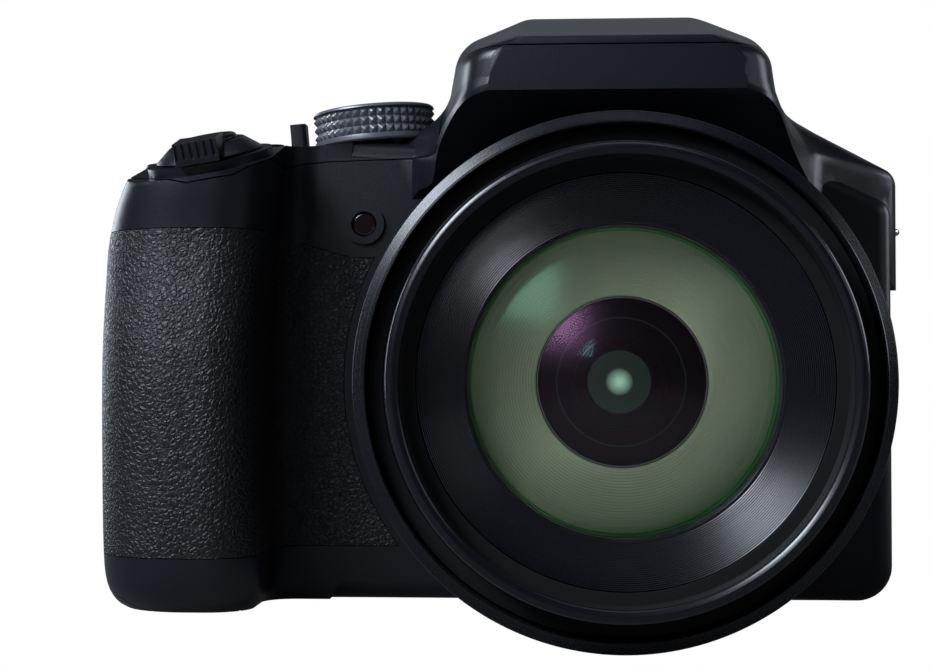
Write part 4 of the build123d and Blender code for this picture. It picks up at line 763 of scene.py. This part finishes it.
# %% Screen glass
def screen_glass(name, middle, half):
    """Black glass whose display area, |x - x0| < half width and |z - z0| < half height, is a shade lighter."""
    material, tree, out, add = tree_of(name)
    place = add("SeparateXYZ", {0: add("TexCoord").outputs["Object"]})
    share = []
    for axis, centre, reach in (("X", middle[0], half[0]), ("Z", middle[1], half[1])):
        away = add("Math", {0: place.outputs[axis]}, operation="SUBTRACT")
        away.inputs[1].default_value = centre
        size = add("Math", {0: away.outputs[0]}, operation="ABSOLUTE")
        part = add("Math", {0: size.outputs[0]}, operation="DIVIDE")
        part.inputs[1].default_value = reach
        share.append(part.outputs[0])
    far = add("Math", {0: share[0], 1: share[1]}, operation="MAXIMUM")
    inside = add("Math", {0: far.outputs[0]}, operation="LESS_THAN")
    inside.inputs[1].default_value = 1.0
    tone = add("Mix", {0: inside.outputs[0]}, data_type="RGBA")
    tone.inputs[6].default_value = (0.0022, 0.0022, 0.0026, 1)
    tone.inputs[7].default_value = (0.0095, 0.0105, 0.0125, 1)
    haze = add("TexNoise", {"Vector": add("TexCoord").outputs["Object"]}, Scale=140.0, Detail=3.0)
    gloss = add("MapRange", {"Value": haze.outputs["Fac"]})
    gloss.inputs["To Min"].default_value = 0.04
    gloss.inputs["To Max"].default_value = 0.10
    shader = add("BsdfPrincipled", {"Base Color": tone.outputs[2], "Roughness": gloss.outputs[0]})
    tree.links.new(shader.outputs[0], out.inputs["Surface"])
    return material


window_low, window_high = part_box("lcd_window")
window_middle = ((window_low.x + window_high.x) / 2, (window_low.z + window_high.z) / 2)
nodes["lcd_window"].data.materials[0] = screen_glass("display_glass", window_middle, (0.0305, 0.0228))
print("screen glazed")

# %% [markdown]
# The four cursor keys carry small raised arrowheads, and the play key a plain triangle. They are
# moulded in the key, so each is a low prism with a drawn-in top that rides on its own key.

# %% Arrowheads
def raised_mark(name, middle, turn, size, finish, body):
    """Low three-sided prism on a key: corners at 0, 120 and 240 degrees plus its turn, drawn in at the top."""
    corner = np.radians(np.array([0.0, 120.0, 240.0]) + turn)
    reach = np.array([1.0, 1.0, 0.72, 0.001])[:, None] * size
    x = middle[0] + reach * np.cos(corner)
    z = middle[2] + reach * np.sin(corner)
    y = middle[1] + np.array([-0.15, 0.06, 0.16, 0.16])[:, None] + 0 * x
    points = np.stack([x, y, z], -1)
    return piece_from(name, points, grid_faces(4, 3, False, True), finish, body, ())


key_ink = finish_of("key_ink", (0.42, 0.42, 0.41), 0.5, grain=0.05)
key_turns = {"cursor_right": 0, "cursor_up": 90, "cursor_left": 180, "cursor_down": 270, "play_button": 180}
arrow_size, play_size = 0.75, 1.0
for key, turn in key_turns.items():
    low, high = (np.array(corner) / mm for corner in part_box(key))
    middle = np.array([(low[0] + high[0]) / 2, high[1], (low[2] + high[2]) / 2])
    raised_mark(key + "_mark", middle, turn, play_size if key == "play_button" else arrow_size, key_ink,
                key.replace("_button", "") + "_key")
print(len(key_turns), "marks moulded")
